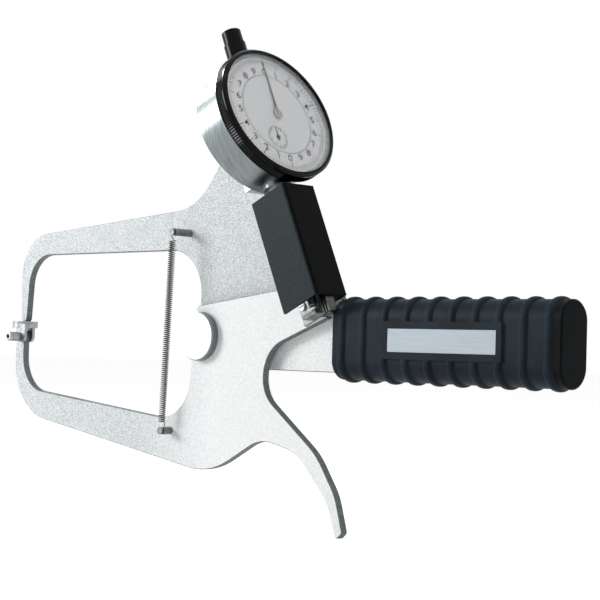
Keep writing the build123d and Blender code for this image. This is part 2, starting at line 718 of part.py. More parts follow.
def drum_case():
    case = tube(face_view, CASE_RADIUS, CASE_BORE, CASE_REAR, CASE_FRONT)
    case += tube(face_view, SPIGOT_RADIUS, CASE_BORE, CASE_FRONT, SPIGOT_FRONT)
    case -= snap_groove(SPIGOT_RADIUS + 1, 0)
    inner_wall = (CASE_RADIUS + CASE_BORE) / 2
    for at in on_circle(PILLAR_CIRCLE, BOSS_ANGLES):
        boss = disc(face_view, CASE_BOSS_RADIUS, BOSS_START, REAR_PLATE_FACE, at)
        case += boss & disc(face_view, inner_wall, BOSS_START, REAR_PLATE_FACE)
        case -= disc(face_view, BACK_SCREW_RADIUS, BOSS_START, BOSS_START + BACK_SCREW_DEPTH, at)
        case -= disc(
            face_view, MOVEMENT_SCREW_RADIUS, REAR_PLATE_FACE - PLATE_SCREW_DEPTH, REAR_PLATE_FACE, at
        )
    case += disc(plunger_view, STEM_BOSS_RADIUS, -CASE_RADIUS - STEM_BOSS_LENGTH, -inner_wall)
    case -= disc(plunger_view, STEM_RADIUS, -CASE_RADIUS - 2 * STEM_BOSS_LENGTH, 0)
    case -= disc(plunger_view, UPPER_BUSH_RADIUS, 0, CASE_RADIUS + 1)
    return case


def snap_groove(radius, gap):
    """The ring-shaped space that the snap ring needs, out to a radius."""
    face = SNAP_RING_FACE - gap
    return tube(face_view, radius, SNAP_RING_BORE, face, face + SNAP_RING_SIZE + 2 * gap)


def snap_ring():
    return snap_groove(SNAP_RING_RADIUS, 0)


def case_back():
    back = disc(face_view, CASE_BORE, CASE_REAR, BOSS_START)
    places = [lug_place(height) for height in BLOCK_SCREW_HEIGHTS]
    half_pad = 2 * BLOCK_SCREW_RADIUS
    pad = block(
        face_view,
        (LUG_SIDE - half_pad, places[0][1] - half_pad),
        (LUG_SIDE + half_pad, places[-1][1] + half_pad),
        BOSS_START,
        BOSS_START + BACK_PAD_THICKNESS,
    )
    back += pad & disc(face_view, CASE_BORE, BOSS_START, 0)
    for at in places:
        back -= disc(face_view, BLOCK_SCREW_RADIUS, CASE_REAR, 0, at)
    for at in on_circle(PILLAR_CIRCLE, BOSS_ANGLES):
        back -= disc(face_view, BACK_SCREW_RADIUS, CASE_REAR, BOSS_START, at)
    return back


def back_screws():
    screws = [
        slotted_screw(
            face_view, at, CASE_REAR, BOSS_START + BACK_SCREW_DEPTH, BACK_SCREW_RADIUS,
            BACK_SCREW_HEAD_RADIUS, BACK_SCREW_HEAD,
        )
        for at in on_circle(PILLAR_CIRCLE, BOSS_ANGLES)
    ]
    return Compound(children=screws)


PLUNGER_BORE = PLUNGER_RADIUS + PLUNGER_FIT
STEM_TOP = -CASE_BORE
BUSH_START = CASE_BORE


def stem_tube():
    return tube(plunger_view, STEM_RADIUS, PLUNGER_BORE, STEM_BOTTOM - DIAL_HEIGHT, STEM_TOP)


def upper_bush():
    return tube(plunger_view, UPPER_BUSH_RADIUS, PLUNGER_BORE, BUSH_START, BUSH_START + UPPER_BUSH_LENGTH)


def cap_collar():
    collar = tube(
        plunger_view, CAP_COLLAR_RADIUS, UPPER_BUSH_RADIUS, CASE_RADIUS - 1, CAP_COLLAR_TOP
    )
    return collar - disc(face_view, CASE_RADIUS, CASE_REAR - 1, CASE_FRONT + 1)


def dust_cap():
    cap = disc(plunger_view, CAP_RADIUS, CAP_COLLAR_TOP, CAP_TOP)
    cap += disc(plunger_view, UPPER_BUSH_RADIUS, CAP_COLLAR_TOP - CAP_SPIGOT_LENGTH, CAP_COLLAR_TOP)
    return cap - disc(plunger_view, CAP_BORE, 0, CAP_TOP - CAP_RADIUS + CAP_BORE)


# Bezel with its crystal, reflector and scale ring

BEZEL_REAR = CASE_FRONT + RUNNING_GAP
CRYSTAL_FRONT = BEZEL_FRONT - LIP_THICKNESS
CRYSTAL_BACK = CRYSTAL_FRONT - CRYSTAL_THICKNESS
KNURL_START = BEZEL_REAR + KNURL_MARGIN


def bezel():
    body = Pos(0, 0, BEZEL_REAR) * Cylinder(BEZEL_RADIUS, BEZEL_FRONT - BEZEL_REAR, align=CENTRED)
    body = chamfer(body.edges().sort_by(Axis.Z)[-1], BEZEL_EDGE)
    body = face_view * body
    knurl_end = KNURL_START + KNURL_LENGTH
    points = []
    for i in range(2 * KNURL_COUNT):
        radius = BEZEL_RADIUS - (i % 2) * KNURL_DEPTH
        angle = pi * i / KNURL_COUNT
        points.append((radius * cos(angle), radius * sin(angle)))
    band = polygon_plate(face_view, points, KNURL_START, knurl_end)
    body -= tube(face_view, BEZEL_RADIUS + 1, BEZEL_RADIUS - 1, KNURL_START, knurl_end)
    body += band
    groove_bore = BEZEL_RADIUS - BEZEL_GROOVE
    body -= tube(face_view, BEZEL_RADIUS + 1, groove_bore, knurl_end, knurl_end + BEZEL_GROOVE)
    body -= disc(face_view, SPIGOT_RADIUS + RUNNING_GAP, BEZEL_REAR - 1, BEZEL_SEAT)
    body -= disc(face_view, BEZEL_BORE, BEZEL_SEAT, BEZEL_FRONT + 1)
    body -= snap_groove(SNAP_RING_RADIUS + 2 * RUNNING_GAP, 2 * RUNNING_GAP)
    return body


def scale_ring():
    return tube(face_view, BEZEL_BORE, RING_INNER_RADIUS, BEZEL_SEAT, DIAL_FACE)


def reflector_ring():
    """The sloped grey ring that shows between the scale and the crystal."""
    height = CRYSTAL_BACK - DIAL_FACE
    slope = Cone(REFLECTOR_FOOT_RADIUS, LIP_RADIUS, height, align=CENTRED)
    return disc(face_view, BEZEL_BORE, DIAL_FACE, CRYSTAL_BACK) - face_view * Pos(0, 0, DIAL_FACE) * slope


def crystal():
    return disc(face_view, BEZEL_BORE, CRYSTAL_BACK, CRYSTAL_FRONT)


def crystal_retainer():
    return tube(face_view, BEZEL_BORE, LIP_RADIUS, CRYSTAL_FRONT, BEZEL_FRONT)


# Movement: plates, pillars, rack, gears, hands and hairspring

MAIN_PLATE_FRONT = REAR_PLATE_FACE + MOVEMENT_PLATE_THICKNESS
FRONT_PLATE_TOP = FRONT_PLATE_FACE + MOVEMENT_PLATE_THICKNESS
COUNTER_PLACE = (COUNTER_SIDE, -COUNTER_DROP)
TAKE_UP_PLACE = (
    GEAR_DISTANCE * cos(radians(TAKE_UP_ANGLE)),
    GEAR_DISTANCE * sin(radians(TAKE_UP_ANGLE)),
)
ARBOR_BORE = ARBOR_RADIUS + ARBOR_FIT
ARBOR_REAR = REAR_PLATE_FACE + RUNNING_GAP
COUNTER_HAND_FACE = DIAL_FACE + COUNTER_ABOVE_DIAL
HAND_FACE = DIAL_FACE + HAND_ABOVE_DIAL
HUB_BACK = DIAL_FACE + HUB_ABOVE_DIAL
HUB_FRONT = CRYSTAL_BACK - HUB_BELOW_CRYSTAL


def movement_plate():
    radius = CASE_BORE - SEAT_GAP
    plate = disc(face_view, radius, REAR_PLATE_FACE, MAIN_PLATE_FRONT)
    for at in ((0, 0), COUNTER_PLACE, TAKE_UP_PLACE):
        plate -= disc(face_view, ARBOR_BORE, REAR_PLATE_FACE, MAIN_PLATE_FRONT, at)
    for at in on_circle(PILLAR_CIRCLE, BOSS_ANGLES):
        plate -= disc(face_view, MOVEMENT_SCREW_RADIUS, REAR_PLATE_FACE, MAIN_PLATE_FRONT, at)
    return plate


def front_plate():
    plate = disc(face_view, FRONT_PLATE_RADIUS, FRONT_PLATE_FACE, FRONT_PLATE_TOP)
    for at in ((0, 0), COUNTER_PLACE, TAKE_UP_PLACE):
        plate -= disc(face_view, ARBOR_BORE, FRONT_PLATE_FACE, FRONT_PLATE_TOP, at)
    return plate


def pillars(low, high):
    posts = [
        disc(face_view, PILLAR_RADIUS, low, high, at)
        for at in on_circle(FRONT_PILLAR_CIRCLE, PILLAR_ANGLES)
    ]
    return Compound(children=posts)


def movement_screws():
    screws = [
        slotted_screw(
            face_view, at, MAIN_PLATE_FRONT, REAR_PLATE_FACE - PLATE_SCREW_DEPTH,
            MOVEMENT_SCREW_RADIUS, MOVEMENT_SCREW_HEAD_RADIUS, MOVEMENT_SCREW_HEAD,
        )
        for at in on_circle(PILLAR_CIRCLE, BOSS_ANGLES)
    ]
    return Compound(children=screws)


def inner_dial():
    dial = disc(face_view, RING_INNER_RADIUS - DIAL_SPLIT, BEZEL_SEAT, DIAL_FACE)
    for at in ((0, 0), COUNTER_PLACE):
        dial -= disc(face_view, DIAL_HOLE_RADIUS, BEZEL_SEAT, DIAL_FACE, at)
    return dial


# Teeth are straight sided and thinner than their gaps, so a pair runs with backlash.
# Half widths are shares of the tooth pitch.
TOOTH_RISE = 0.8
TOOTH_DROP = 1.15
TIP_SHARE = 0.10
ROOT_SHARE = 0.25


def toothed_wheel(teeth, module, phase, low, high, at):
    """A spur gear with one tooth centred on the phase, in degrees."""
    tip = module * (teeth / 2 + TOOTH_RISE)
    root = module * (teeth / 2 - TOOTH_DROP)
    pitch = 2 * pi / teeth
    points = []
    for i in range(teeth):
        middle = radians(phase) + i * pitch
        for radius, share in ((root, -ROOT_SHARE), (tip, -TIP_SHARE), (tip, TIP_SHARE), (root, ROOT_SHARE)):
            angle = middle + share * pitch
            points.append((at[0] + radius * cos(angle), at[1] + radius * sin(angle)))
    return polygon_plate(face_view, points, low, high)


def meshing_phase(direction, driver_phase, driver_teeth, teeth):
    """The phase that puts a gear in mesh with its driver, seen along a direction."""
    pitch = 360 / driver_teeth
    offset = (driver_phase - direction + pitch / 2) % pitch - pitch / 2
    return direction + 180 - offset * driver_teeth / teeth + 180 / teeth


COUNTER_DIRECTION = degrees(atan2(-COUNTER_DROP, COUNTER_SIDE))


def rack_pinion():
    half = RACK_PINION_LENGTH / 2
    arbor = disc(face_view, ARBOR_RADIUS, -half, COUNTER_HAND_FACE + HAND_THICKNESS, COUNTER_PLACE)
    return arbor + toothed_wheel(RACK_PINION_TEETH, RACK_MODULE, 0, -half, half, COUNTER_PLACE)


def big_gear(direction, face, at):
    phase = meshing_phase(direction, 0, CENTRE_PINION_TEETH, GEAR_TEETH)
    gear = toothed_wheel(GEAR_TEETH, GEAR_MODULE, phase, face, face + GEAR_THICKNESS, at)
    return gear - disc(face_view, ARBOR_RADIUS, face, face + GEAR_THICKNESS, at)


def centre_pinion():
    low = MAIN_PLATE_FRONT + 2 * RUNNING_GAP
    high = FRONT_PLATE_FACE - 2 * RUNNING_GAP
    arbor = disc(face_view, ARBOR_RADIUS, ARBOR_REAR, HUB_FRONT)
    return arbor + toothed_wheel(CENTRE_PINION_TEETH, GEAR_MODULE, 0, low, high, (0, 0))


def take_up_arbor():
    top = FRONT_PLATE_TOP + SEAT_GAP + HAIRSPRING_HEIGHT
    return disc(face_view, ARBOR_RADIUS, ARBOR_REAR, top, TAKE_UP_PLACE)


def pointer(length, tail, half_root, at, face):
    """A flat hand that points up the stem."""
    points = [
        (at[0] - half_root, at[1] - tail),
        (at[0] + half_root, at[1] - tail),
        (at[0] + half_root * 0.8, at[1]),
        (at[0] + HAND_TIP, at[1] + length),
        (at[0] - HAND_TIP, at[1] + length),
        (at[0] - half_root * 0.8, at[1]),
    ]
    return polygon_plate(face_view, points, face, face + HAND_THICKNESS)


def main_hand():
    hand = pointer(HAND_LENGTH, HAND_TAIL, HAND_ROOT, (0, 0), HAND_FACE)
    hand += disc(face_view, HAND_HUB_RADIUS * 0.8, HAND_FACE, HAND_FACE + HAND_THICKNESS)
    return hand - disc(face_view, ARBOR_RADIUS * 1.5, HAND_FACE, HAND_FACE + HAND_THICKNESS)


def hand_hub():
    """The brass boss that grips the arbor and carries the hand on its shoulder."""
    hand_top = HAND_FACE + HAND_THICKNESS
    boss = disc(face_view, ARBOR_RADIUS * 1.5, HUB_BACK, hand_top)
    boss += disc(face_view, HAND_HUB_RADIUS, hand_top, HUB_FRONT)
    return boss - disc(face_view, ARBOR_RADIUS, HUB_BACK, HUB_FRONT)


def counter_hand():
    hand = pointer(
        COUNTER_HAND_LENGTH, COUNTER_HAND_TAIL, COUNTER_HAND_ROOT, COUNTER_PLACE, COUNTER_HAND_FACE
    )
    hand_top = COUNTER_HAND_FACE + HAND_THICKNESS
    hand += disc(face_view, COUNTER_HUB_RADIUS, COUNTER_HAND_FACE, hand_top, COUNTER_PLACE)
    return hand - disc(face_view, ARBOR_RADIUS, COUNTER_HAND_FACE, hand_top, COUNTER_PLACE)


def hairspring():
    """A flat spiral of half turns, each wider than the last by half the pitch."""
    low = FRONT_PLATE_TOP + SEAT_GAP
    strip = None
    reach = HAIRSPRING_START
    centre = 0.0
    for i in range(2 * HAIRSPRING_TURNS):
        half_ring = Cylinder(reach + HAIRSPRING_SECTION / 2, HAIRSPRING_HEIGHT, align=CENTRED)
        half_ring -= Cylinder(reach - HAIRSPRING_SECTION / 2, HAIRSPRING_HEIGHT, align=CENTRED)
        side_sign = 1 if i % 2 == 0 else -1
        keep = Box(4 * reach, 2 * reach, HAIRSPRING_HEIGHT, align=(Align.CENTER, Align.MIN, Align.MIN))
        if side_sign < 0:
            keep = Pos(0, -2 * reach, 0) * keep
        piece = Pos(centre, 0, 0) * (half_ring & keep)
        strip = piece if strip is None else strip + piece
        centre -= side_sign * HAIRSPRING_PITCH / 4
        reach += HAIRSPRING_PITCH / 4
    place = Pos(TAKE_UP_PLACE[0], TAKE_UP_PLACE[1], low)
    return face_view * place * strip


# Plunger with its rack, contact point and guide pin

PLUNGER_END = PLUNGER_ABOVE_CONTACT - CONTACT_LEVEL - DIAL_HEIGHT
RACK_START = -COUNTER_DROP - PLUNGER_TRAVEL - 2 * RACK_PITCH
RACK_END = -COUNTER_DROP + 2 * RACK_PITCH


def plunger():
    rod = disc(plunger_view, PLUNGER_RADIUS, PLUNGER_END, PLUNGER_TOP)
    rod -= disc(plunger_view, CONTACT_STUD_RADIUS, PLUNGER_END, PLUNGER_END + CONTACT_STUD_LENGTH)
    rod -= disc(face_view, GUIDE_PIN_RADIUS, -PLUNGER_RADIUS - 1, 0, (0, GUIDE_PIN_HEIGHT))
    rack_top = RACK_PITCH_LINE + TOOTH_RISE * RACK_MODULE
    rack_root = RACK_PITCH_LINE - TOOTH_DROP * RACK_MODULE
    depth = PLUNGER_RADIUS
    rod -= block(face_view, (-depth - 1, RACK_START), (-rack_top, RACK_END), -depth, depth)
    gaps = int((RACK_END - RACK_START) / RACK_PITCH)
    for i in range(gaps):
        middle = -COUNTER_DROP + (1 - i) * RACK_PITCH
        mouth = (0.5 - TIP_SHARE) * RACK_PITCH
        floor = (0.5 - ROOT_SHARE) * RACK_PITCH
        points = [
            (-rack_top - 0.5, middle - mouth),
            (-rack_top, middle - mouth),
            (-rack_root, middle - floor),
            (-rack_root, middle + floor),
            (-rack_top, middle + mouth),
            (-rack_top - 0.5, middle + mouth),
        ]
        rod -= polygon_plate(face_view, points, -depth, depth)
    return rod


def contact_point():
    """A hardened point with a ball end, screwed into the plunger."""
    ball_centre = -BALL_LEVEL + CONTACT_GAP - DIAL_HEIGHT
    point = disc(plunger_view, CONTACT_BALL_RADIUS * 0.95, ball_centre, PLUNGER_END)
    point += plunger_view * Pos(0, 0, ball_centre) * Sphere(CONTACT_BALL_RADIUS)
    point -= disc(plunger_view, 2 * CONTACT_BALL_RADIUS, PLUNGER_END, PLUNGER_END + 5)
    stud_top = PLUNGER_END + CONTACT_STUD_LENGTH
    return point + disc(plunger_view, CONTACT_STUD_RADIUS, PLUNGER_END, stud_top)


def guide_pin():
    return disc(face_view, GUIDE_PIN_RADIUS, GUIDE_PIN_END, 0, (0, GUIDE_PIN_HEIGHT))


def guide_rail():
    """A channel on the case back that keeps the plunger from turning."""
    reach = GUIDE_PIN_RADIUS + GUIDE_RAIL_MARGIN
    low = GUIDE_PIN_HEIGHT - reach
    high = GUIDE_PIN_HEIGHT + PLUNGER_TRAVEL + reach
    rail = block(face_view, (-reach, low), (reach, high), BOSS_START, GUIDE_RAIL_FRONT)
    slot = GUIDE_PIN_RADIUS + 2 * RUNNING_GAP
    return rail - block(
        face_view, (-slot, low), (slot, high), GUIDE_PIN_END - 2 * RUNNING_GAP, GUIDE_RAIL_FRONT
    )


# Lever body: lever plate, bush, lower post, anvil and contact tab

def from_pivot(corner):
    """A corner measured from the pivot, as X, Z and radius of the side view."""
    return (JAW_REACH + corner[0], corner[1] - PIVOT_DROP, corner[2])


def lever_plate():
    notch = PLUNGER_REACH - NOTCH_TO_LEFT
    horn = (PLUNGER_REACH + HORN_TO_RIGHT, -CONTACT_LEVEL - HORN_DROP)
    corners = [
        (LEVER_TIP_LEFT, LEVER_TIP_TOP, LEVER_TIP_RADIUS),
        LEVER_KNEE,
        from_pivot(HEEL),
        from_pivot(TRIGGER_ROOT),
        from_pivot(TRIGGER_BELLY),
        from_pivot(TRIGGER_BEND),
        from_pivot(TRIGGER_TIP),
        from_pivot(TRIGGER_TIP_TOP),
        from_pivot(TRIGGER_TOP_BEND),
        from_pivot(TRIGGER_CROWN),
        from_pivot(TRIGGER_THROAT),
        from_pivot(LEVER_SHOULDER),
        (*from_stem(*horn), HORN_RADIUS),
        (*from_stem(notch, NOTCH_HEIGHT - CONTACT_LEVEL), NOTCH_RADIUS),
        (*from_stem(notch, -LEVER_HEAD_BELOW_PIVOT), LEVER_HEAD_RADIUS),
        from_pivot(LEVER_HEAD_CORNER),
        from_pivot(LEVER_NECK),
        LEVER_INNER_KNEE,
        (LEVER_TIP_RIGHT, LEVER_TIP_TOP, LEVER_TIP_RADIUS),
    ]
    plate = rounded_plate(side, corners, LEVER_BACK, LEVER_FRONT, PLATE_EDGE)
    plate -= disc(hub, PIVOT_BUSH_RADIUS, LEVER_BACK, LEVER_FRONT)
    plate -= disc(hub, POST_SHANK_RADIUS, LEVER_BACK, LEVER_FRONT, LOWER_POST)
    plate -= disc(stem_view, TAB_SCREW_RADIUS, LEVER_BACK, LEVER_FRONT, TAB_SCREW_AT)
    screw_at = (ANVIL_SCREW_X, ANVIL_SCREW_Z)
    return plate - disc(side, ANVIL_SCREW_RADIUS, LEVER_BACK, LEVER_FRONT, screw_at)


def lever_bush():
    bore = PIVOT_SHAFT_RADIUS + RUNNING_GAP
    return tube(hub, PIVOT_BUSH_RADIUS, bore, LEVER_BACK, LEVER_FRONT)


def anvil():
    """A round anvil face on a saddle whose two legs straddle the end of the arm."""
    top = -JAW_GAP
    bottom = top - ANVIL_HEIGHT
    face = Pos(ANVIL_CENTRE_X, -ANVIL_CENTRE_DEPTH, bottom)
    body = face * Cylinder(ANVIL_RADIUS, ANVIL_HEIGHT, align=CENTRED)
    left = SADDLE_CENTRE_X - SADDLE_LEG_WIDTH / 2
    right = SADDLE_CENTRE_X + SADDLE_LEG_WIDTH / 2
    low = bottom - SADDLE_LEG_LENGTH
    corner = SADDLE_LEG_WIDTH * 0.4
    for back in (LEVER_BACK - SADDLE_LEG_THICKNESS, LEVER_FRONT):
        corners = [(left, bottom, 0), (left, low, corner), (right, low, corner), (right, bottom, 0)]
        leg = rounded_plate(side, corners, back, back + SADDLE_LEG_THICKNESS)
        body += leg
    bridge_back = LEVER_BACK - SADDLE_LEG_THICKNESS
    bridge_front = LEVER_FRONT + SADDLE_LEG_THICKNESS
    body += block(side, (left, bottom), (right, bottom + ANVIL_HEIGHT * 0.6), bridge_back, bridge_front)
    hole = (ANVIL_SCREW_X, ANVIL_SCREW_Z)
    return body - disc(side, ANVIL_SCREW_RADIUS, bridge_back, bridge_front, hole)


def anvil_screw():
    seat = LEVER_FRONT + SADDLE_LEG_THICKNESS
    at = (ANVIL_SCREW_X, ANVIL_SCREW_Z)
    head = Pos(at[0], at[1], seat) * Cylinder(ANVIL_SCREW_HEAD_RADIUS, ANVIL_SCREW_HEAD, align=CENTRED)
    rims = head.edges().filter_by(GeomType.CIRCLE)
    head = side * fillet(rims, ANVIL_SCREW_HEAD_RADIUS * 0.3)
    head -= disc(
        side, ANVIL_SCREW_RADIUS, seat + ANVIL_SCREW_HEAD / 2, seat + ANVIL_SCREW_HEAD, at
    )
    return head + disc(side, ANVIL_SCREW_RADIUS, LEVER_BACK - SADDLE_LEG_THICKNESS, seat, at)


def contact_tab():
    """An angle on the lever: its leaf is screwed down and its shelf lifts the plunger."""
    shelf_low = -CONTACT_LEVEL - TAB_THICKNESS
    leaf_front = LEVER_FRONT + TAB_LEAF_THICKNESS
    leaf = block(
        stem_view, (TAB_LEAF_LEFT, shelf_low), (TAB_RIGHT, TAB_LEAF_HEIGHT - CONTACT_LEVEL),
        LEVER_FRONT, leaf_front,
    )
    shelf = block(
        stem_view, (TAB_LEFT, shelf_low), (TAB_RIGHT, -CONTACT_LEVEL), LEVER_FRONT,
        PLUNGER_DEPTH + TAB_OVERHANG,
    )
    return leaf + shelf - disc(stem_view, TAB_SCREW_RADIUS, LEVER_FRONT, leaf_front, TAB_SCREW_AT)


def tab_screw():
    return slotted_screw(
        stem_view, TAB_SCREW_AT, LEVER_FRONT + TAB_LEAF_THICKNESS, LEVER_BACK,
        TAB_SCREW_RADIUS, TAB_SCREW_HEAD_RADIUS, TAB_SCREW_HEAD_RADIUS / 2,
    )


# Tension spring between the posts. Its own axes run down the spring, across it and
# towards the reader.

upper_post = Vector(UPPER_POST[0], UPPER_POST[1], SPRING_DEPTH)
lower_post = Vector(LOWER_POST[0], LOWER_POST[1], SPRING_DEPTH)
SPRING_SPAN = (lower_post - upper_post).length
HOOK_RADIUS = POST_GROOVE_RADIUS + SPRING_WIRE / 2 + RUNNING_GAP
HOOK_ANGLES = (225, 180, 90, 0)
COIL_LENGTH = SPRING_SPAN - 2 * (HOOK_RADIUS + SPRING_NECK)
down = (lower_post - upper_post).normalized()
across = Vector(-down.Y, down.X, 0)
outwards = Vector(0, 0, 1)


def spring_key(place, heading):
    """A point and a direction given as across, down and outwards."""
    point = upper_post + across * place[0] + down * place[1] + outwards * place[2]
    direction = across * heading[0] + down * heading[1] + outwards * heading[2]
    return point, direction.normalized()


def hook_keys():
    """The open loop round the upper post, from its free end to the neck."""
    keys = []
    for angle in HOOK_ANGLES:
        turn = radians(angle)
        place = (HOOK_RADIUS * cos(turn), -HOOK_RADIUS * sin(turn), 0)
        keys.append(spring_key(place, (sin(turn), cos(turn), 0)))
    return keys


def coil_keys():
    """Two points a turn on the helix, each with its tangent."""
    rise = COIL_LENGTH / SPRING_CURLS
    start = HOOK_RADIUS + SPRING_NECK
    keys = []
    for half in range(2 * SPRING_CURLS + 1):
        turn = pi * half
        place = (
            -SPRING_MEAN_RADIUS * sin(turn),
            start + rise * half / 2,
            -SPRING_MEAN_RADIUS * cos(turn),
        )
        slope = rise / (2 * pi * SPRING_MEAN_RADIUS)
        keys.append(spring_key(place, (-cos(turn), slope, sin(turn))))
    return keys


def turned_over(keys):
    """The same keys turned half round about the middle of the spring, run backwards."""
    turned = []
    for point, direction in reversed(keys):
        away = point - upper_post
        place = (-away.dot(across), SPRING_SPAN - away.dot(down), away.dot(outwards))
        heading = (direction.dot(across), direction.dot(down), -direction.dot(outwards))
        turned.append(spring_key(place, heading))
    return turned


def biarc(start, end):
    """Two arcs that leave one key and arrive at the next along their tangents."""
    (a, leave), (b, arrive) = start, end
    chord = b - a
    total = leave + arrive
    bend = 2 * (1 - leave.dot(arrive))
    reach = chord.dot(total)
    step = (sqrt(reach * reach + bend * chord.dot(chord)) - reach) / bend
    first = a + leave * step
    second = b - arrive * step
    joint = (first + second) / 2
    return [TangentArc(a, joint, tangent=leave), TangentArc(joint, b, tangent=second - first)]


def least_gap(edges):
    """The least distance between two stretches of the wire that aren't neighbours."""
    points = []
    for edge in edges:
        points += [edge @ (i / 6) for i in range(6)]
    steps = [(points[i + 1] - points[i]).length for i in range(len(points) - 1)]
    travelled = [0.0]
    for step in steps:
        travelled.append(travelled[-1] + step)
    turn_length = 2 * pi * SPRING_MEAN_RADIUS
    window = 30
    least = turn_length
    for i, point in enumerate(points):
        for j in range(i + 1, min(i + window, len(points))):
            if travelled[j] - travelled[i] > turn_length / 2:
                least = min(least, (points[j] - point).length)
    return least - SPRING_WIRE


def tension_spring():
    hook = hook_keys()
    keys = hook + coil_keys() + turned_over(hook)
    free_end, heading = keys[0]
    last_end, last_heading = keys[-1]
    edges = [Line(free_end - heading * SPRING_WIRE, free_end)]
    for start, end in zip(keys, keys[1:]):
        edges += biarc(start, end)
    edges.append(Line(last_end, last_end + last_heading * SPRING_WIRE))
    path = Wire(edges)
    section = Plane(origin=edges[0] @ 0, z_dir=heading) * Circle(SPRING_WIRE / 2)
    wire = sweep(section, path=path)
    ideal = pi * (SPRING_WIRE / 2) ** 2 * path.length
    print("spring volume", round(wire.volume, 2), "section times length", round(ideal, 2))
    print("spring least gap to itself", round(least_gap(edges), 3))
    return hub * wire


NODES = {
    "frame_plate": frame_plate,
    "upper_spring_post": lambda: spring_post(UPPER_POST, FRAME_FRONT),
    "pivot_pin": pivot_pin,
    "pivot_cap": pivot_cap,
    "pivot_washer": pivot_washer,
    "pivot_nut": pivot_nut,
    "spindle_cover": spindle_cover,
    "cover_screws": cover_screws,
    "stop_block": stop_block,
    "mounting_block": mounting_block,
    "block_screws": block_screws,
    "lug_screws": lug_screws,
    "grip_sleeve": grip_sleeve,
    "grip_core_front": lambda: grip_core(1),
    "grip_core_rear": lambda: grip_core(-1),
    "grip_rivets": grip_rivets,
    "grip_end_cap": grip_end_cap,
    "name_plate": name_plate,
    "drum_case": drum_case,
    "snap_ring": snap_ring,
    "case_back": case_back,
    "back_screws": back_screws,
    "stem": stem_tube,
    "upper_bush": upper_bush,
    "cap_collar": cap_collar,
    "dust_cap": dust_cap,
    "movement_plate": movement_plate,
    "front_plate": front_plate,
    "movement_pillars": lambda: pillars(MAIN_PLATE_FRONT, FRONT_PLATE_FACE),
    "dial_posts": lambda: pillars(FRONT_PLATE_TOP, BEZEL_SEAT),
    "movement_screws": movement_screws,
    "inner_dial": inner_dial,
    "guide_rail": guide_rail,
    "hairspring": hairspring,
    "bezel": bezel,
    "scale_ring": scale_ring,
    "reflector_ring": reflector_ring,
    "crystal": crystal,
    "crystal_retainer": crystal_retainer,
    "rack_pinion": rack_pinion,
    "drive_gear": lambda: big_gear(COUNTER_DIRECTION, GEAR_FACE, COUNTER_PLACE),
    "counter_hand": counter_hand,
    "centre_pinion": centre_pinion,
    "main_hand": main_hand,
    "hand_hub": hand_hub,
    "take_up_arbor": take_up_arbor,
    "take_up_gear": lambda: big_gear(TAKE_UP_ANGLE, TAKE_UP_FACE, TAKE_UP_PLACE),
    "plunger": plunger,
    "contact_point": contact_point,
    "guide_pin": guide_pin,
    "lever_plate": lever_plate,
    "lever_bush": lever_bush,
    "lower_spring_post": lambda: spring_post(LOWER_POST, LEVER_FRONT),
    "anvil": anvil,
    "anvil_screw": anvil_screw,
    "contact_tab": contact_tab,
    "tab_screw": tab_screw,
    "tension_spring": tension_spring,
}

os.makedirs("parts", exist_ok=True)
for name, make in NODES.items():
    export_step(make(), f"parts/{name}.step")
print("lever swing in degrees", round(degrees(LEVER_SWING), 4))
print("plunger reach", round(PLUNGER_REACH, 3))
print("counter axis", round(COUNTER_SIDE, 3), "gear module", round(GEAR_MODULE, 4))
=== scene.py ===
import json
import math

import bpy
import numpy as np
from bpy.props import FloatProperty, FloatVectorProperty, IntProperty, PointerProperty
from mathutils import Matrix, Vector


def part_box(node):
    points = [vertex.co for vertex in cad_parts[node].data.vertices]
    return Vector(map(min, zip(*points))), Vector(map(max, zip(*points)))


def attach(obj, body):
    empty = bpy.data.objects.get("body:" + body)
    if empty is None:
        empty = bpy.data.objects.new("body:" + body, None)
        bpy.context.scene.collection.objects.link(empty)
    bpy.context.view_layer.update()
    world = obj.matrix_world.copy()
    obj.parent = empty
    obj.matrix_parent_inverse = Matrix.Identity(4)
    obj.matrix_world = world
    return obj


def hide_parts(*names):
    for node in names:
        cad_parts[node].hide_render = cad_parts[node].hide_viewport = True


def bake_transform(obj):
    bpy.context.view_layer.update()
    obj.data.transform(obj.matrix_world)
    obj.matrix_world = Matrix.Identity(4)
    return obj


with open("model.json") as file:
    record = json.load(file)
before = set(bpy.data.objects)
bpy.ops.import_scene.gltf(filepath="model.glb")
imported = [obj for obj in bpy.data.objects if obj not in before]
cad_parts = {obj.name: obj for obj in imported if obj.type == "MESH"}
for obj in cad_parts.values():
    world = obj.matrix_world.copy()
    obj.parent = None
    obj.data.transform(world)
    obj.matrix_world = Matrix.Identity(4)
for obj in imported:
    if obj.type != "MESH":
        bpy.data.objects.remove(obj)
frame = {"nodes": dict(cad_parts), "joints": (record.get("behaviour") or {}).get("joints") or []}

bl_info = {
    "name": "Dial caliper gauge",
    "version": (1, 0, 0),
    "blender": (4, 5, 0),
    "location": "3D View > Sidebar > Gauge",
    "description": "Finishes, printing, spring and grip of a dial caliper gauge, with its studio",
    "category": "Object",
}

MM = 0.001
JOINTS = {joint["name"]: joint for joint in frame["joints"]}
PIVOT = np.array(JOINTS["lever_pivot"]["pos_m"]) * (1, 0, 1)
DIAL_CENTRE = np.array(JOINTS["bezel_turn"]["pos_m"])
OUT_OF_DIAL = np.array(JOINTS["bezel_turn"]["axis"])
UP_STEM = np.array(JOINTS["plunger_slide"]["axis"])
COUNTER_CENTRE = np.array(JOINTS["counter_spin"]["pos_m"])
DIAL_TURN = math.atan2(OUT_OF_DIAL[2], OUT_OF_DIAL[0])

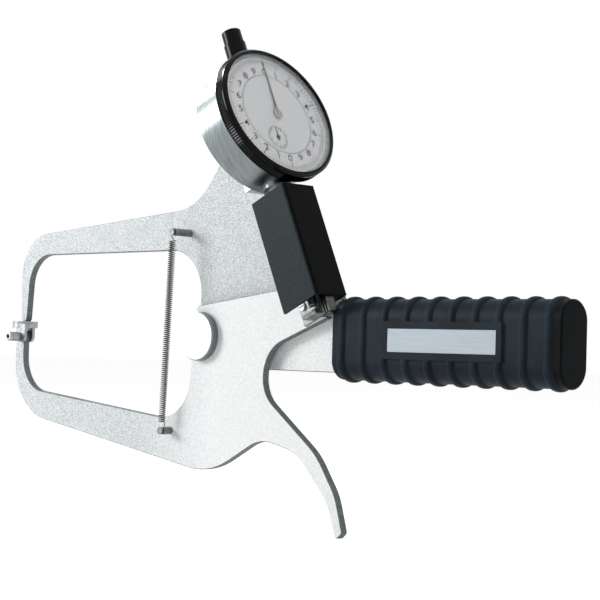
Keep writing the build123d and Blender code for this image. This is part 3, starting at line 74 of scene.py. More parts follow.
# Printing on the dial in millimetres. Inner and outer are radii, and a mark's width is
# given as its half.
DIAL_FACE = 10.8
INK_THICKNESS = 0.03
NUMERALS = 20
NUMERAL_BREADTH = 1.2
MARK_OUTER = 24.6
TENTH_INNER = 21.7
FIFTH_INNER = 22.3
SINGLE_INNER = 22.9
BROAD_MARK = 0.18
FINE_MARK = 0.14
RING_INNER = 17.2
RING_OUTER = 17.65
COUNTER_OUTER = 5.0
COUNTER_TENTH_INNER = 3.6
COUNTER_FINE_INNER = 4.3
COUNTER_BROAD_MARK = 0.17
COUNTER_FINE_MARK = 0.1

# Spring in millimetres, with its posts' places from the pivot. The hook's turn is in degrees.
SPRING_DEPTH = 11.0
UPPER_POST = (-14.3, 43.1)
LOWER_POST = (-18.0, -39.7)
HOOK_RADIUS = 1.35
HOOK_TURN = 225
SPRING_NECK = 2.2
NECK_LEAVE = 5.0
NECK_ARRIVE = 3.0
WIRE_SIDES = 8

# Grip in millimetres, from the end of it that is nearer to the pivot
GRIP_LOW, GRIP_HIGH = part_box("grip_sleeve")
GRIP_THICKNESS = 15.0
FIRST_RIB = 4.9
RIB_PITCH = 10.6667
PANEL_START = 26.6
PANEL_LENGTH = 55.1
PANEL_HEIGHT = 13.9
LABEL_MARGIN = 2.4
LABEL_HEIGHT = 8.5
LABEL_RECESS = 0.62
END_ROUNDING = 0.4
RIB_POWER = 2.6

# Where the silver paint starts and ends its change from grey to pale, along X in metres.
# The pale paint there is painted light, not wear.
FRAME_PAINTED_LIGHT = (0.165, 0.185)
LEVER_PAINTED_LIGHT = (0.09, 0.14)

# Studio in metres, with each light's place, size and setting. The camera's lens, place
# and turn come from a fit to the photograph.
TARGET = (0.16, 0.0, 0.0)
LIGHTS = {
    "key_light": ((-0.9, -0.95, 0.45), 0.6, "key_power"),
    "side_light": ((-0.87, 0.05, 0.68), 0.2, "side_power"),
    "top_light": ((0.5, -0.15, 1.3), 0.6, "top_power"),
}
WORLD_STRENGTH = 0.2
FLOOR_GLOW = 1.5
GLOW_SHARE = 0.6
FLOOR_REACH = 6.0
CAMERA_LENS_MM = 100.63
CAMERA_PLACE = (0.64834, -0.46494, -0.00979)
CAMERA_YAW = 45.098
CAMERA_PITCH = -1.714
CAMERA_ROLL = 1.65


# Mesh helpers


def linear(hex_colour):
    """An sRGB hex colour as linear red, green and blue with full alpha."""
    parts = np.array([int(hex_colour[i:i + 2], 16) for i in (1, 3, 5)]) / 255
    low = parts / 12.92
    high = ((parts + 0.055) / 1.055) ** 2.4
    return (*np.where(parts <= 0.04045, low, high).tolist(), 1.0)


def face_points(u, v, w):
    """Points given in millimetres as right, up the stem and out of the dial."""
    u, v, w = np.broadcast_arrays(u, v, w)
    right = np.array([0.0, 1.0, 0.0])
    return DIAL_CENTRE + MM * (
        u[..., None] * right + v[..., None] * UP_STEM + w[..., None] * OUT_OF_DIAL
    )


def add_piece(name, points, faces, material, body, smooth=True):
    """A mesh object at the origin from points in metres, riding on a CAD body."""
    mesh = bpy.data.meshes.new(name)
    mesh.from_pydata(np.reshape(points, (-1, 3)).tolist(), [], faces)
    mesh.polygons.foreach_set("use_smooth", np.full(len(mesh.polygons), smooth))
    mesh.materials.append(material)
    mesh.update()
    piece = bpy.data.objects.new(name, mesh)
    bpy.context.scene.collection.objects.link(piece)
    if body:
        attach(piece, body)
    return piece


def grid_faces(rows, columns, wrap_columns=True):
    """Quads of a grid whose points run column by column within each row."""
    row = np.arange(rows - 1)[:, None]
    column = np.arange(columns if wrap_columns else columns - 1)[None, :]
    beside = (column + 1) % columns
    quads = np.stack(
        [row * columns + column, row * columns + beside,
         (row + 1) * columns + beside, (row + 1) * columns + column], axis=-1,
    )
    return quads.reshape(-1, 4).tolist()


def ticks(angles, inner, outer, half_width, low, high, centre=(0.0, 0.0)):
    """Printed bars: each is a thin box between two radii at its clockwise angle."""
    angles, inner, outer, half_width = np.broadcast_arrays(angles, inner, outer, half_width)
    radial = np.stack([np.sin(angles), np.cos(angles)], axis=-1)
    across = np.stack([np.cos(angles), -np.sin(angles)], axis=-1)
    corners = []
    for reach, side in ((inner, -1), (outer, -1), (outer, 1), (inner, 1)):
        corners.append(radial * reach[:, None] + across * (side * half_width)[:, None])
    flat = np.stack(corners, axis=1) + np.array(centre)
    low_points = face_points(flat[..., 0], flat[..., 1], low)
    high_points = face_points(flat[..., 0], flat[..., 1], high)
    points = np.concatenate([low_points, high_points], axis=1)
    box = np.array([
        (3, 2, 1, 0), (4, 5, 6, 7), (0, 1, 5, 4), (1, 2, 6, 5), (2, 3, 7, 6), (3, 0, 4, 7),
    ])
    faces = (np.arange(len(angles))[:, None, None] * 8 + box[::-1, ::-1]).reshape(-1, 4)
    return points.reshape(-1, 3), faces.tolist()


def ring_band(inner, outer, low, high, centre=(0.0, 0.0), steps=160):
    """A printed circle: four rings of points closed into a thin band."""
    turn = np.linspace(0, 2 * np.pi, steps, endpoint=False)
    section = np.array([(inner, low), (outer, low), (outer, high), (inner, high), (inner, low)])
    reach = section[:, 0][:, None]
    points = face_points(
        centre[0] + reach * np.cos(turn), centre[1] + reach * np.sin(turn),
        section[:, 1][:, None] + 0 * turn,
    )
    return points[:4].reshape(-1, 3), ring_faces(4, steps)


def ring_faces(rows, columns):
    """Quads of a grid that closes on itself both ways."""
    quads = np.array(grid_faces(rows + 1, columns))
    return (quads % (rows * columns)).tolist()


def joined(parts):
    """Several (points, faces) pairs as one."""
    points, faces, start = [], [], 0
    for part_points, part_faces in parts:
        points.append(part_points)
        faces += [[start + corner for corner in face] for face in part_faces]
        start += len(part_points)
    return np.concatenate(points), faces


def digit_outline(text, height):
    """A numeral as a thin solid, centred, with points in millimetres."""
    curve = bpy.data.curves.new("numeral", "FONT")
    curve.body = text
    curve.size = 1.0
    curve.extrude = 0.5
    curve.offset = 0.01
    curve.resolution_u = 3
    holder = bpy.data.objects.new("numeral", curve)
    bpy.context.scene.collection.objects.link(holder)
    bpy.context.view_layer.update()
    mesh = bpy.data.meshes.new_from_object(holder)
    points = np.zeros(len(mesh.vertices) * 3)
    mesh.vertices.foreach_get("co", points)
    points = points.reshape(-1, 3)
    faces = [list(polygon.vertices) for polygon in mesh.polygons]
    bpy.data.objects.remove(holder)
    bpy.data.curves.remove(curve)
    bpy.data.meshes.remove(mesh)
    low, high = points[:, :2].min(0), points[:, :2].max(0)
    points[:, :2] -= (low + high) / 2
    points[:, :2] *= height / (high[1] - low[1])
    points[:, 0] *= NUMERAL_BREADTH
    return points, faces


# Material helpers


def node(tree, kind, inputs=None, **settings):
    """A shader node with its settings; an input is a value or another node's socket."""
    made = tree.nodes.new(kind)
    for key, value in settings.items():
        setattr(made, key, value)
    for key, value in (inputs or {}).items():
        if isinstance(value, bpy.types.NodeSocket):
            tree.links.new(value, made.inputs[key])
        else:
            made.inputs[key].default_value = value
    return made


def new_material(name):
    """An empty node material with its output, and the object's own coordinates."""
    material = bpy.data.materials.new(name)
    material.use_nodes = True
    tree = material.node_tree
    tree.nodes.clear()
    place = node(tree, "ShaderNodeTexCoord").outputs["Object"]
    return material, tree, place


def finish_material(material, tree, shader):
    node(tree, "ShaderNodeOutputMaterial", {"Surface": shader.outputs[0]})
    return material


def grain(tree, place, size_mm, detail=2.0, roughness=0.5):
    """Noise whose blotches are about so many millimetres across."""
    return node(
        tree, "ShaderNodeTexNoise",
        {"Vector": place, "Scale": 1 / (size_mm * MM), "Detail": detail, "Roughness": roughness},
    ).outputs["Fac"]


def two_tone(tree, factor, dark, light, low=0.35, high=0.65):
    """A colour that runs from dark to light as the factor goes from low to high."""
    ramp = node(tree, "ShaderNodeValToRGB", {"Fac": factor})
    ramp.color_ramp.elements[0].position = low
    ramp.color_ramp.elements[0].color = linear(dark)
    ramp.color_ramp.elements[1].position = high
    ramp.color_ramp.elements[1].color = linear(light)
    return ramp.outputs["Color"]


def ranged(tree, value, low, high):
    """The value, from 0 to 1, spread between two numbers."""
    return node(
        tree, "ShaderNodeMapRange", {"Value": value, "To Min": low, "To Max": high}
    ).outputs["Result"]


def bumped(tree, height, depth_mm, strength=1.0):
    return node(
        tree, "ShaderNodeBump", {"Height": height, "Distance": depth_mm * MM, "Strength": strength}
    ).outputs["Normal"]


def broad_side(tree):
    """1 where the surface faces the front or the back, and 0 on the edges between them.

    It reads the piece's own normal, because these pieces have no UV map.
    """
    normal = node(tree, "ShaderNodeTexCoord").outputs["Normal"]
    along = node(tree, "ShaderNodeSeparateXYZ", {"Vector": normal}).outputs["Y"]
    size = node(tree, "ShaderNodeMath", {0: along}, operation="ABSOLUTE").outputs[0]
    return node(
        tree, "ShaderNodeMapRange", {"Value": size, "From Min": 0.75, "From Max": 0.9}
    ).outputs["Result"]


def blended(tree, factor, first, second):
    """A colour that goes from the first to the second with the factor."""
    # Sockets 6 and 7 are the mix node's colours, and output 2 is its colour result.
    return node(
        tree, "ShaderNodeMix", {0: factor, 6: first, 7: second}, data_type="RGBA"
    ).outputs[2]


def hammered_paint(name, grey, pale, start, end):
    """Silver paint with bright and grey flecks on the flats, and darker edges.

    The flecks are 0.45 mm across, coarser than real ones, so that they show. The paint goes
    from grey to pale between two places along X, in metres; the pale paint is painted light.
    The darker edges are painted shade.
    """
    material, tree, place = new_material(name)
    flecks = grain(tree, place, 0.45, detail=3.0, roughness=0.7)
    peel = grain(tree, place, 1.1)
    flat = broad_side(tree)
    # The change to pale paint along X is painted light.
    along = node(tree, "ShaderNodeSeparateXYZ", {"Vector": place}).outputs["X"]
    painted_light = node(
        tree, "ShaderNodeMapRange", {"Value": along, "From Min": start, "From Max": end}
    ).outputs["Result"]
    paint = blended(
        tree, painted_light, two_tone(tree, flecks, *grey, 0.38, 0.62),
        two_tone(tree, flecks, *pale, 0.38, 0.62),
    )
    # The edges' darker grey is painted shade.
    painted_shade_edge = two_tone(tree, peel, "#626a69", "#7c8483")
    shader = node(tree, "ShaderNodeBsdfPrincipled", {
        "Base Color": blended(tree, flat, painted_shade_edge, paint),
        "Metallic": ranged(tree, flat, 0.6, 0.05),
        "Roughness": ranged(tree, peel, 0.58, 0.78),
        "Normal": bumped(tree, peel, 0.05, 0.8),
    })
    return finish_material(material, tree, shader)


def machined_metal(name, dark, light, rough):
    """Bare machined steel, brass or nickel silver: soft blotches over a fine texture.

    The blotches are 2.5 mm across. The texture is 0.35 mm across and runs no way in
    particular. It stands for the tool marks, which are finer.
    """
    material, tree, place = new_material(name)
    blotches = grain(tree, place, 2.5, detail=4.0)
    texture = grain(tree, place, 0.35, detail=1.0)
    shader = node(tree, "ShaderNodeBsdfPrincipled", {
        "Base Color": two_tone(tree, blotches, dark, light),
        "Metallic": 1.0,
        "Roughness": ranged(tree, texture, rough * 0.8, rough * 1.3),
        "Normal": bumped(tree, texture, 0.01, 0.6),
    })
    return finish_material(material, tree, shader)


def brushed_plate(name, dark, light):
    """Anodised aluminium sheet brushed along the grip: fine lines that run in X.

    The lines are about 8 mm long and 0.14 mm wide, coarser than real ones, so that they show.
    """
    material, tree, place = new_material(name)
    drawn_out = node(
        tree, "ShaderNodeMapping", {"Vector": place, "Scale": (120.0, 900.0, 7000.0)}
    ).outputs["Vector"]
    lines = node(
        tree, "ShaderNodeTexNoise", {"Vector": drawn_out, "Scale": 1.0, "Detail": 2.0}
    ).outputs["Fac"]
    shader = node(tree, "ShaderNodeBsdfPrincipled", {
        "Base Color": two_tone(tree, lines, dark, light),
        "Metallic": 0.2,
        "Roughness": ranged(tree, lines, 0.5, 0.65),
        "Normal": bumped(tree, lines, 0.003, 0.4),
    })
    return finish_material(material, tree, shader)


def faced_steel(name, centre, dark, light):
    """Steel faced on a lathe: rings about the pivot on the face, and a darker side.

    The rings are about 1 mm apart, coarser than real ones. The side's darker grey is
    painted shade.
    """
    material, tree, place = new_material(name)
    local = node(
        tree, "ShaderNodeMapping", {"Vector": place, "Location": tuple(-centre)}
    ).outputs["Vector"]
    rings = node(
        tree, "ShaderNodeTexWave", {"Vector": local, "Scale": 300.0, "Distortion": 0.3},
        wave_type="RINGS", rings_direction="Y",
    ).outputs["Fac"]
    face = two_tone(tree, rings, dark, light, 0.0, 1.0)
    # The side's darker grey is painted shade.
    side = two_tone(tree, rings, "#6d7475", "#858c8d", 0.0, 1.0)
    shader = node(tree, "ShaderNodeBsdfPrincipled", {
        "Base Color": blended(tree, broad_side(tree), side, face),
        "Metallic": 0.9,
        "Roughness": ranged(tree, rings, 0.42, 0.5),
        "Normal": bumped(tree, rings, 0.005, 0.3),
    })
    return finish_material(material, tree, shader)


def brushed_chrome(name, dark, light):
    """Satin chrome plate on a brushed drum: fine lines that lie square to X.

    The lines are 0.11 mm wide and about 7 mm long, coarser than real ones, so that they
    show. Real ones run round the dial's axis. These don't, because the mapping node scales
    before it turns.
    """
    material, tree, place = new_material(name)
    turned = node(
        tree, "ShaderNodeMapping",
        {"Vector": place, "Rotation": (0.0, DIAL_TURN, 0.0), "Scale": (9000.0, 150.0, 150.0)},
    ).outputs["Vector"]
    lines = node(
        tree, "ShaderNodeTexNoise", {"Vector": turned, "Scale": 1.0, "Detail": 2.0}
    ).outputs["Fac"]
    shader = node(tree, "ShaderNodeBsdfPrincipled", {
        "Base Color": two_tone(tree, lines, dark, light),
        "Metallic": 1.0,
        "Roughness": ranged(tree, lines, 0.24, 0.34),
        "Normal": bumped(tree, lines, 0.004, 0.4),
    })
    return finish_material(material, tree, shader)


def satin_enamel(name, dark, light, rough, size_mm=1.6, depth_mm=0.02, gloss=0.5):
    """Stoved enamel, ink or moulded plastic: a soft sheen over a faint orange peel."""
    material, tree, place = new_material(name)
    peel = grain(tree, place, size_mm, detail=3.0)
    shader = node(tree, "ShaderNodeBsdfPrincipled", {
        "Base Color": two_tone(tree, peel, dark, light),
        "Roughness": ranged(tree, peel, rough * 0.85, rough * 1.15),
        "Normal": bumped(tree, peel, depth_mm, 0.6),
        "Specular IOR Level": gloss,
    })
    return finish_material(material, tree, shader)


def grey_fronted_enamel(name, black, grey):
    """Black stoved enamel, drawn grey on the front and the back and black on the sides.

    The grey on the front and the back is painted light.
    """
    material, tree, place = new_material(name)
    peel = grain(tree, place, 1.6, detail=3.0)
    # The grey front is painted light.
    front = two_tone(tree, peel, *grey)
    sides = two_tone(tree, peel, *black)
    shader = node(tree, "ShaderNodeBsdfPrincipled", {
        "Base Color": blended(tree, broad_side(tree), sides, front),
        "Roughness": ranged(tree, peel, 0.34, 0.46),
        "Normal": bumped(tree, peel, 0.01, 0.6),
        "Specular IOR Level": 0.04,
    })
    return finish_material(material, tree, shader)


def moulded_rubber(name, dark, light):
    """Moulded synthetic rubber: a fine matt grain under broad, slightly greyer blotches."""
    material, tree, place = new_material(name)
    skin = grain(tree, place, 0.5, detail=4.0, roughness=0.6)
    blotches = grain(tree, place, 14.0, detail=3.0)
    shader = node(tree, "ShaderNodeBsdfPrincipled", {
        "Base Color": two_tone(tree, blotches, dark, light),
        "Roughness": ranged(tree, blotches, 0.42, 0.6),
        "Normal": bumped(tree, skin, 0.03, 0.5),
        "Specular IOR Level": 0.08,
    })
    return finish_material(material, tree, shader)


def clear_crystal(name):
    """Clear acrylic: nearly all light passes straight through, with a thin gloss."""
    material, tree, place = new_material(name)
    film = grain(tree, place, 12.0)
    shader = node(tree, "ShaderNodeBsdfPrincipled", {
        "Base Color": linear("#ffffff"),
        "Roughness": ranged(tree, film, 0.02, 0.05),
        "IOR": 1.49,
        "Transmission Weight": 1.0,
        "Alpha": 0.12,
    })
    return finish_material(material, tree, shader)


def finishes():
    """Every finish of the gauge, made once."""
    return {
        # Each silver paint has a grey copy and a pale copy; the change between them along X is
        # painted light.
        "frame_paint": hammered_paint(
            "hammered_silver_paint", ("#a2a9ad", "#eaedee"), ("#dadedf", "#fafafa"),
            *FRAME_PAINTED_LIGHT,
        ),
        "lever_paint": hammered_paint(
            "hammered_silver_paint_lever", ("#a4abae", "#e5e8ea"), ("#dfe2e3", "#f6f7f7"),
            *LEVER_PAINTED_LIGHT,
        ),
        "faced_steel": faced_steel("faced_steel_pivot_cap", PIVOT, "#d2d5d6", "#d9dcdd"),
        "bright_steel": machined_metal("turned_bright_steel", "#b9bcbf", "#cfd2d4", 0.28),
        "spring_steel": machined_metal("drawn_spring_steel", "#3a3c39", "#595b57", 0.3),
        "screw_steel": machined_metal("nickelled_screw_steel", "#8d9093", "#a8abae", 0.35),
        "post_steel": machined_metal("plain_machined_steel", "#6a6e6d", "#8d9190", 0.5),
        "chrome": brushed_chrome("satin_chrome_plate", "#676e70", "#8d9495"),
        "brass": machined_metal("turned_brass", "#9c8047", "#c2a566", 0.3),
        "nickel_silver": machined_metal("turned_nickel_silver", "#84847f", "#aaaaa4", 0.3),
        # The cover's grey front is painted light on black enamel.
        "cover_enamel": grey_fronted_enamel(
            "satin_black_enamel", ("#040506", "#080a0b"), ("#2b3235", "#31393c")
        ),
        "bezel_enamel": satin_enamel(
            "gloss_black_enamel", "#030404", "#060707", 0.16, 1.6, 0.004, 0.1
        ),
        "rubber": moulded_rubber("moulded_black_rubber", "#141c23", "#1e2931"),
        "core": satin_enamel("moulded_black_abs", "#080a0c", "#0e1113", 0.5, gloss=0.05),
        "label": brushed_plate("satin_anodised_aluminium", "#a3adb5", "#b0bac2"),
        "dial_white": satin_enamel(
            "satin_white_dial_enamel", "#e2e4e7", "#ebecee", 0.5, 2.5, 0.005
        ),
        "reflector": satin_enamel("grey_moulded_reflector", "#8b9196", "#9aa0a4", 0.45),
        "crystal": clear_crystal("clear_acrylic_crystal"),
        "hand_black": satin_enamel(
            "blued_steel_hand", "#101316", "#171a1e", 0.35, 0.8, gloss=0.25
        ),
        "ink": satin_enamel("printed_black_ink", "#121316", "#1b1c20", 0.6, 0.6, 0.002, 0.1),
        "grey_ink": satin_enamel("printed_grey_ink", "#9b9a97", "#a5a4a1", 0.6, 0.6, 0.002, 0.1),
    }


NODE_FINISHES = {
    "frame_paint": ["frame_plate"],
    "lever_paint": ["lever_plate"],
    "faced_steel": ["pivot_cap"],
    "bright_steel": [
        "pivot_pin", "pivot_nut", "plunger", "contact_point",
        "guide_pin", "stem", "mounting_block",
    ],
    "spring_steel": ["drive_gear", "rack_pinion", "stop_block"],
    "post_steel": ["upper_spring_post", "lower_spring_post", "contact_tab"],
    "screw_steel": [
        "cover_screws", "block_screws", "lug_screws", "back_screws", "movement_screws",
        "tab_screw", "snap_ring", "grip_rivets", "hairspring", "anvil", "anvil_screw",
    ],
    "chrome": ["drum_case", "case_back"],
    "brass": [
        "lever_bush", "pivot_washer", "upper_bush", "movement_plate", "front_plate",
        "movement_pillars", "dial_posts", "take_up_gear", "take_up_arbor", "guide_rail",
    ],
    "nickel_silver": ["hand_hub", "centre_pinion"],
    "cover_enamel": ["spindle_cover"],
    "bezel_enamel": ["bezel", "crystal_retainer", "dust_cap", "cap_collar"],
    "core": ["grip_core_front", "grip_core_rear", "grip_end_cap"],
    "label": ["name_plate"],
    "dial_white": ["inner_dial", "scale_ring"],
    "reflector": ["reflector_ring"],
    "crystal": ["crystal"],
    "hand_black": ["main_hand", "counter_hand"],
}


def material_named(key):
    """A finish, made the first time that any is asked for."""
    if not MADE:
        MADE.update(finishes())
    return MADE[key]


MADE = {}


# Sizes and colours that a user may change


class DialSettings(bpy.types.PropertyGroup):
    numeral_height: FloatProperty(
        name="Numeral height", description="Height of the scale's numerals",
        default=2.9 * MM, unit="LENGTH",
    )
    numeral_circle: FloatProperty(
        name="Numeral circle", description="Radius of the circle through the numerals",
        default=19.5 * MM, unit="LENGTH",
    )
    graduations: IntProperty(
        name="Graduations", description="Marks round the scale", default=100, min=20,
    )


class SpringSettings(bpy.types.PropertyGroup):
    curls: IntProperty(name="Curls", description="Turns of the tension spring", default=90, min=5)
    wire: FloatProperty(
        name="Wire", description="Thickness of the spring's wire", default=0.4 * MM, unit="LENGTH",
    )
    mean_radius: FloatProperty(
        name="Mean radius", description="Radius of the coil at the middle of the wire",
        default=1.32 * MM, unit="LENGTH",
    )


class GripSettings(bpy.types.PropertyGroup):
    ribs: IntProperty(name="Ribs", description="Ribs round the grip", default=10, min=2)
    rib_height: FloatProperty(
        name="Rib height", description="How far a rib stands out", default=1.0 * MM, unit="LENGTH",
    )
    rib_width: FloatProperty(
        name="Rib width", description="Length of a rib along the grip",
        default=3.6 * MM, unit="LENGTH",
    )


class StudioSettings(bpy.types.PropertyGroup):
    backdrop: FloatVectorProperty(
        name="Backdrop", description="Colour that the camera sees behind the gauge",
        default=(1.0, 1.0, 1.0), size=3, subtype="COLOR",
    )
    key_power: FloatProperty(
        name="Key light", description="Power of the large light in front and to the left",
        default=15.0, unit="POWER",
    )
    side_power: FloatProperty(
        name="Side light", description="Power of the small light that glints on the rims",
        default=9.0, unit="POWER",
    )
    top_power: FloatProperty(
        name="Top light", description="Power of the light over the dial",
        default=5.0, unit="POWER",
    )


# Pieces


class GAUGE_OT_finishes(bpy.types.Operator):
    """Gives each CAD piece its finish"""

    bl_idname = "gauge.finishes"
    bl_label = "Finishes"

    def execute(self, context):
        for key, names in NODE_FINISHES.items():
            for name in names:
                piece = frame["nodes"][name]
                if not piece.material_slots:
                    piece.data.materials.append(None)
                for place in piece.material_slots:
                    place.material = material_named(key)
        return {"FINISHED"}


class GAUGE_OT_dial_print(bpy.types.Operator):
    """Prints the scale and its numerals on the turning ring, and the counter on the fixed dial"""

    bl_idname = "gauge.dial_print"
    bl_label = "Dial print"

    def execute(self, context):
        settings = context.scene.gauge_dial
        ink = material_named("ink")
        low, high = DIAL_FACE, DIAL_FACE + INK_THICKNESS
        step = np.arange(settings.graduations)
        turn = 2 * np.pi * step / settings.graduations
        tenth = step % 10 == 0
        fifth = step % 5 == 0
        inner = np.where(tenth, TENTH_INNER, np.where(fifth, FIFTH_INNER, SINGLE_INNER))
        half_width = np.where(fifth, BROAD_MARK, FINE_MARK)
        scale = [ticks(turn, inner, MARK_OUTER, half_width, low, high)]
        digits = [digit_outline(str(i), settings.numeral_height / MM) for i in range(10)]
        reach = settings.numeral_circle / MM
        for place in range(NUMERALS):
            points, faces = digits[place % 10]
            angle = 2 * np.pi * place / NUMERALS
            u = points[:, 0] + reach * np.sin(angle)
            v = points[:, 1] + reach * np.cos(angle)
            w = np.where(points[:, 2] > 0, high, low)
            scale.append((face_points(u, v, w), faces))
        points, faces = joined(scale)
        add_piece("scale_print", points, faces, ink, "bezel", smooth=False)
        # The printed ring also bridges the split between the fixed dial and the turning one.
        points, faces = ring_band(RING_INNER, RING_OUTER, low, high)
        grey = material_named("grey_ink")
        add_piece("ring_print", points, faces, grey, "bezel", smooth=False)
        centre = COUNTER_CENTRE - DIAL_CENTRE
        middle = (centre[1] / MM, float(centre @ UP_STEM) / MM)
        tens = 2 * np.pi * np.arange(10) / 10
        fine = 2 * np.pi * np.arange(50) / 50
        counter = [
            ticks(
                tens, COUNTER_TENTH_INNER, COUNTER_OUTER, COUNTER_BROAD_MARK, low, high, middle
            ),
            ticks(fine, COUNTER_FINE_INNER, COUNTER_OUTER, COUNTER_FINE_MARK, low, high, middle),
        ]
        points, faces = joined(counter)
        add_piece("counter_print", points, faces, ink, "frame", smooth=False)
        return {"FINISHED"}


class GAUGE_OT_spring(bpy.types.Operator):
    """Winds the tension spring between the two posts"""

    bl_idname = "gauge.spring"
    bl_label = "Tension spring"

    def execute(self, context):
        settings = context.scene.gauge_spring
        wire = settings.wire / MM / 2
        reach = settings.mean_radius / MM
        upper = np.array([UPPER_POST[0], -SPRING_DEPTH, UPPER_POST[1]])
        lower = np.array([LOWER_POST[0], -SPRING_DEPTH, LOWER_POST[1]])
        span = np.linalg.norm(lower - upper)
        down = (lower - upper) / span
        outwards = np.array([0.0, -1.0, 0.0])
        across = np.cross(down, outwards)
        start = HOOK_RADIUS + SPRING_NECK
        rise = (span - 2 * start) / settings.curls
        # The hook is an arc about the post, the neck a smooth turn, and the coil a helix.
        hook_turn = np.radians(np.linspace(HOOK_TURN, 0, 36))
        hook = np.stack([np.cos(hook_turn), -np.sin(hook_turn), 0 * hook_turn], axis=-1)
        t = np.linspace(0, 1, 14)[1:-1, None]
        leave, arrive = np.array([HOOK_RADIUS, 0, 0]), np.array([0, start, -reach])
        neck = (
            (2 * t**3 - 3 * t**2 + 1) * leave
            + (t**3 - 2 * t**2 + t) * np.array([0, NECK_LEAVE, 0])
            + (3 * t**2 - 2 * t**3) * arrive
            + (t**3 - t**2) * np.array([-NECK_ARRIVE, 0, 0])
        )
        neck_out = np.array([1.0, 0, 0]) * (1 - t) + np.array([0, 0, -1.0]) * t
        steps_per_curl = 18
        coil_turn = np.linspace(
            0, 2 * np.pi * settings.curls, settings.curls * steps_per_curl + 1
        )
        coil_out = np.stack([-np.sin(coil_turn), 0 * coil_turn, -np.cos(coil_turn)], axis=-1)
        coil = coil_out * reach
        coil[:, 1] += start + rise * coil_turn / (2 * np.pi)
        first = np.concatenate([hook * HOOK_RADIUS, neck])
        first_out = np.concatenate([hook, neck_out])
        flip = np.array([-1.0, -1.0, 1.0])
        last = (first * flip + np.array([0, span, 0]))[::-1]
        last_out = (first_out * flip)[::-1]
        line = np.concatenate([first, coil, last])
        out = np.concatenate([first_out, coil_out, last_out])
        out /= np.linalg.norm(out, axis=1)[:, None]
        tangent = np.gradient(line, axis=0)
        tangent /= np.linalg.norm(tangent, axis=1)[:, None]
        side = out - (out * tangent).sum(1)[:, None] * tangent
        side /= np.linalg.norm(side, axis=1)[:, None]
        other = np.cross(tangent, side)
        around = 2 * np.pi * np.arange(WIRE_SIDES) / WIRE_SIDES
        rings = line[:, None] + wire * (
            np.cos(around)[None, :, None] * side[:, None]
            + np.sin(around)[None, :, None] * other[:, None]
        )
        points = upper + (
            rings[..., :1] * across + rings[..., 1:2] * down + rings[..., 2:] * outwards
        )
        faces = grid_faces(len(line), WIRE_SIDES)
        faces.append(list(range(WIRE_SIDES))[::-1])
        faces.append(list(range((len(line) - 1) * WIRE_SIDES, len(line) * WIRE_SIDES)))
        shift = np.array([PIVOT[0], 0, PIVOT[2]])
        piece = add_piece(
            "spring_coil", points.reshape(-1, 3) * MM + shift, faces,
            material_named("spring_steel"), None,
        )
        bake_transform(piece)
        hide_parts("tension_spring")
        return {"FINISHED"}


class GAUGE_OT_grip(bpy.types.Operator):
    """Moulds the ribbed rubber sleeve round the tang"""

    bl_idname = "gauge.grip"
    bl_label = "Grip sleeve"

    def execute(self, context):
        settings = context.scene.gauge_grip
        height = settings.rib_height / MM
        width = settings.rib_width / MM
        low, high = np.array(GRIP_LOW) / MM, np.array(GRIP_HIGH) / MM
        length = high[0] - low[0]
        half_tall = (high[2] - low[2]) / 2 - height
        half_thick = GRIP_THICKNESS / 2
        # Stations along the grip, evenly spread, with more at the rounded end and at the steps of
        # the panel and the label.
        panel_ends = np.array([PANEL_START, PANEL_START + PANEL_LENGTH])
        label_ends = panel_ends + np.array([LABEL_MARGIN, -LABEL_MARGIN])
        steps_x = np.concatenate([panel_ends, label_ends])
        edges = np.concatenate([
            [0.0, END_ROUNDING / 4, END_ROUNDING * 5 / 8, length],
            np.linspace(END_ROUNDING, length - 0.2, 420),
            steps_x - 0.05,
            steps_x + 0.05,
        ])
        along = np.unique(np.round(edges, 4))
        number = np.clip(np.round((along - FIRST_RIB) / RIB_PITCH), 0, settings.ribs - 1)
        share = np.clip(np.abs(along - FIRST_RIB - RIB_PITCH * number) / (width / 2), 0, 1)
        # A rib is a rounded ridge, and the end nearer to the pivot is rounded as well.
        rib = height * np.sqrt(1 - share**RIB_POWER)
        inset = 1 - np.clip(along / END_ROUNDING, 0, 1)
        offset = rib - END_ROUNDING * (1 - np.sqrt(1 - inset**2))
        # The section is a flat-sided oval: straight sides joined by half circles.
        steps = 40
        arc = np.linspace(0, np.pi, steps, endpoint=False)
        flat_half = half_tall - half_thick
        steps_z = np.array([-PANEL_HEIGHT, -LABEL_HEIGHT, LABEL_HEIGHT, PANEL_HEIGHT]) / 2
        straight = np.unique(np.concatenate([
            np.linspace(-1, 1, 48, endpoint=False),
            (steps_z - 0.03) / flat_half,
            (steps_z + 0.03) / flat_half,
        ]))
        flat = 0 * straight
        normal_y = np.concatenate([flat - 1, -np.cos(arc), flat + 1, np.cos(arc)])
        normal_z = np.concatenate([flat, np.sin(arc), flat, -np.sin(arc)])
        base_z = np.concatenate([
            flat_half * straight, np.full(steps, flat_half), -flat_half * straight,
            np.full(steps, -flat_half),
        ])
        # The flat panel stands as high as the ribs, with a recess for the name plate.
        front = normal_y < -0.99
        grown = offset[:, None] + 0 * base_z
        for ends, tall, level in (
            (panel_ends, PANEL_HEIGHT, height), (label_ends, LABEL_HEIGHT, height - LABEL_RECESS),
        ):
            inside_x = (along > ends[0]) & (along < ends[1])
            inside_z = front & (np.abs(base_z) < tall / 2)
            grown = np.where(inside_x[:, None] & inside_z, level, grown)
        y = (half_thick + grown) * normal_y[None, :]
        z = base_z[None, :] + (half_thick + grown) * normal_z[None, :]
        middle_z = (high[2] + low[2]) / 2
        x = low[0] + along[:, None] + 0 * y
        points = np.stack([x, y, z + middle_z], axis=-1)
        count = len(base_z)
        faces = [face[::-1] for face in grid_faces(len(along), count)]
        faces.append(list(range(count)))
        faces.append(list(range((len(along) - 1) * count, len(along) * count))[::-1])
        piece = add_piece(
            "ribbed_sleeve", points.reshape(-1, 3) * MM, faces, material_named("rubber"),
            "frame",
        )
        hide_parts("grip_sleeve")
        return {"FINISHED"}


# Studio


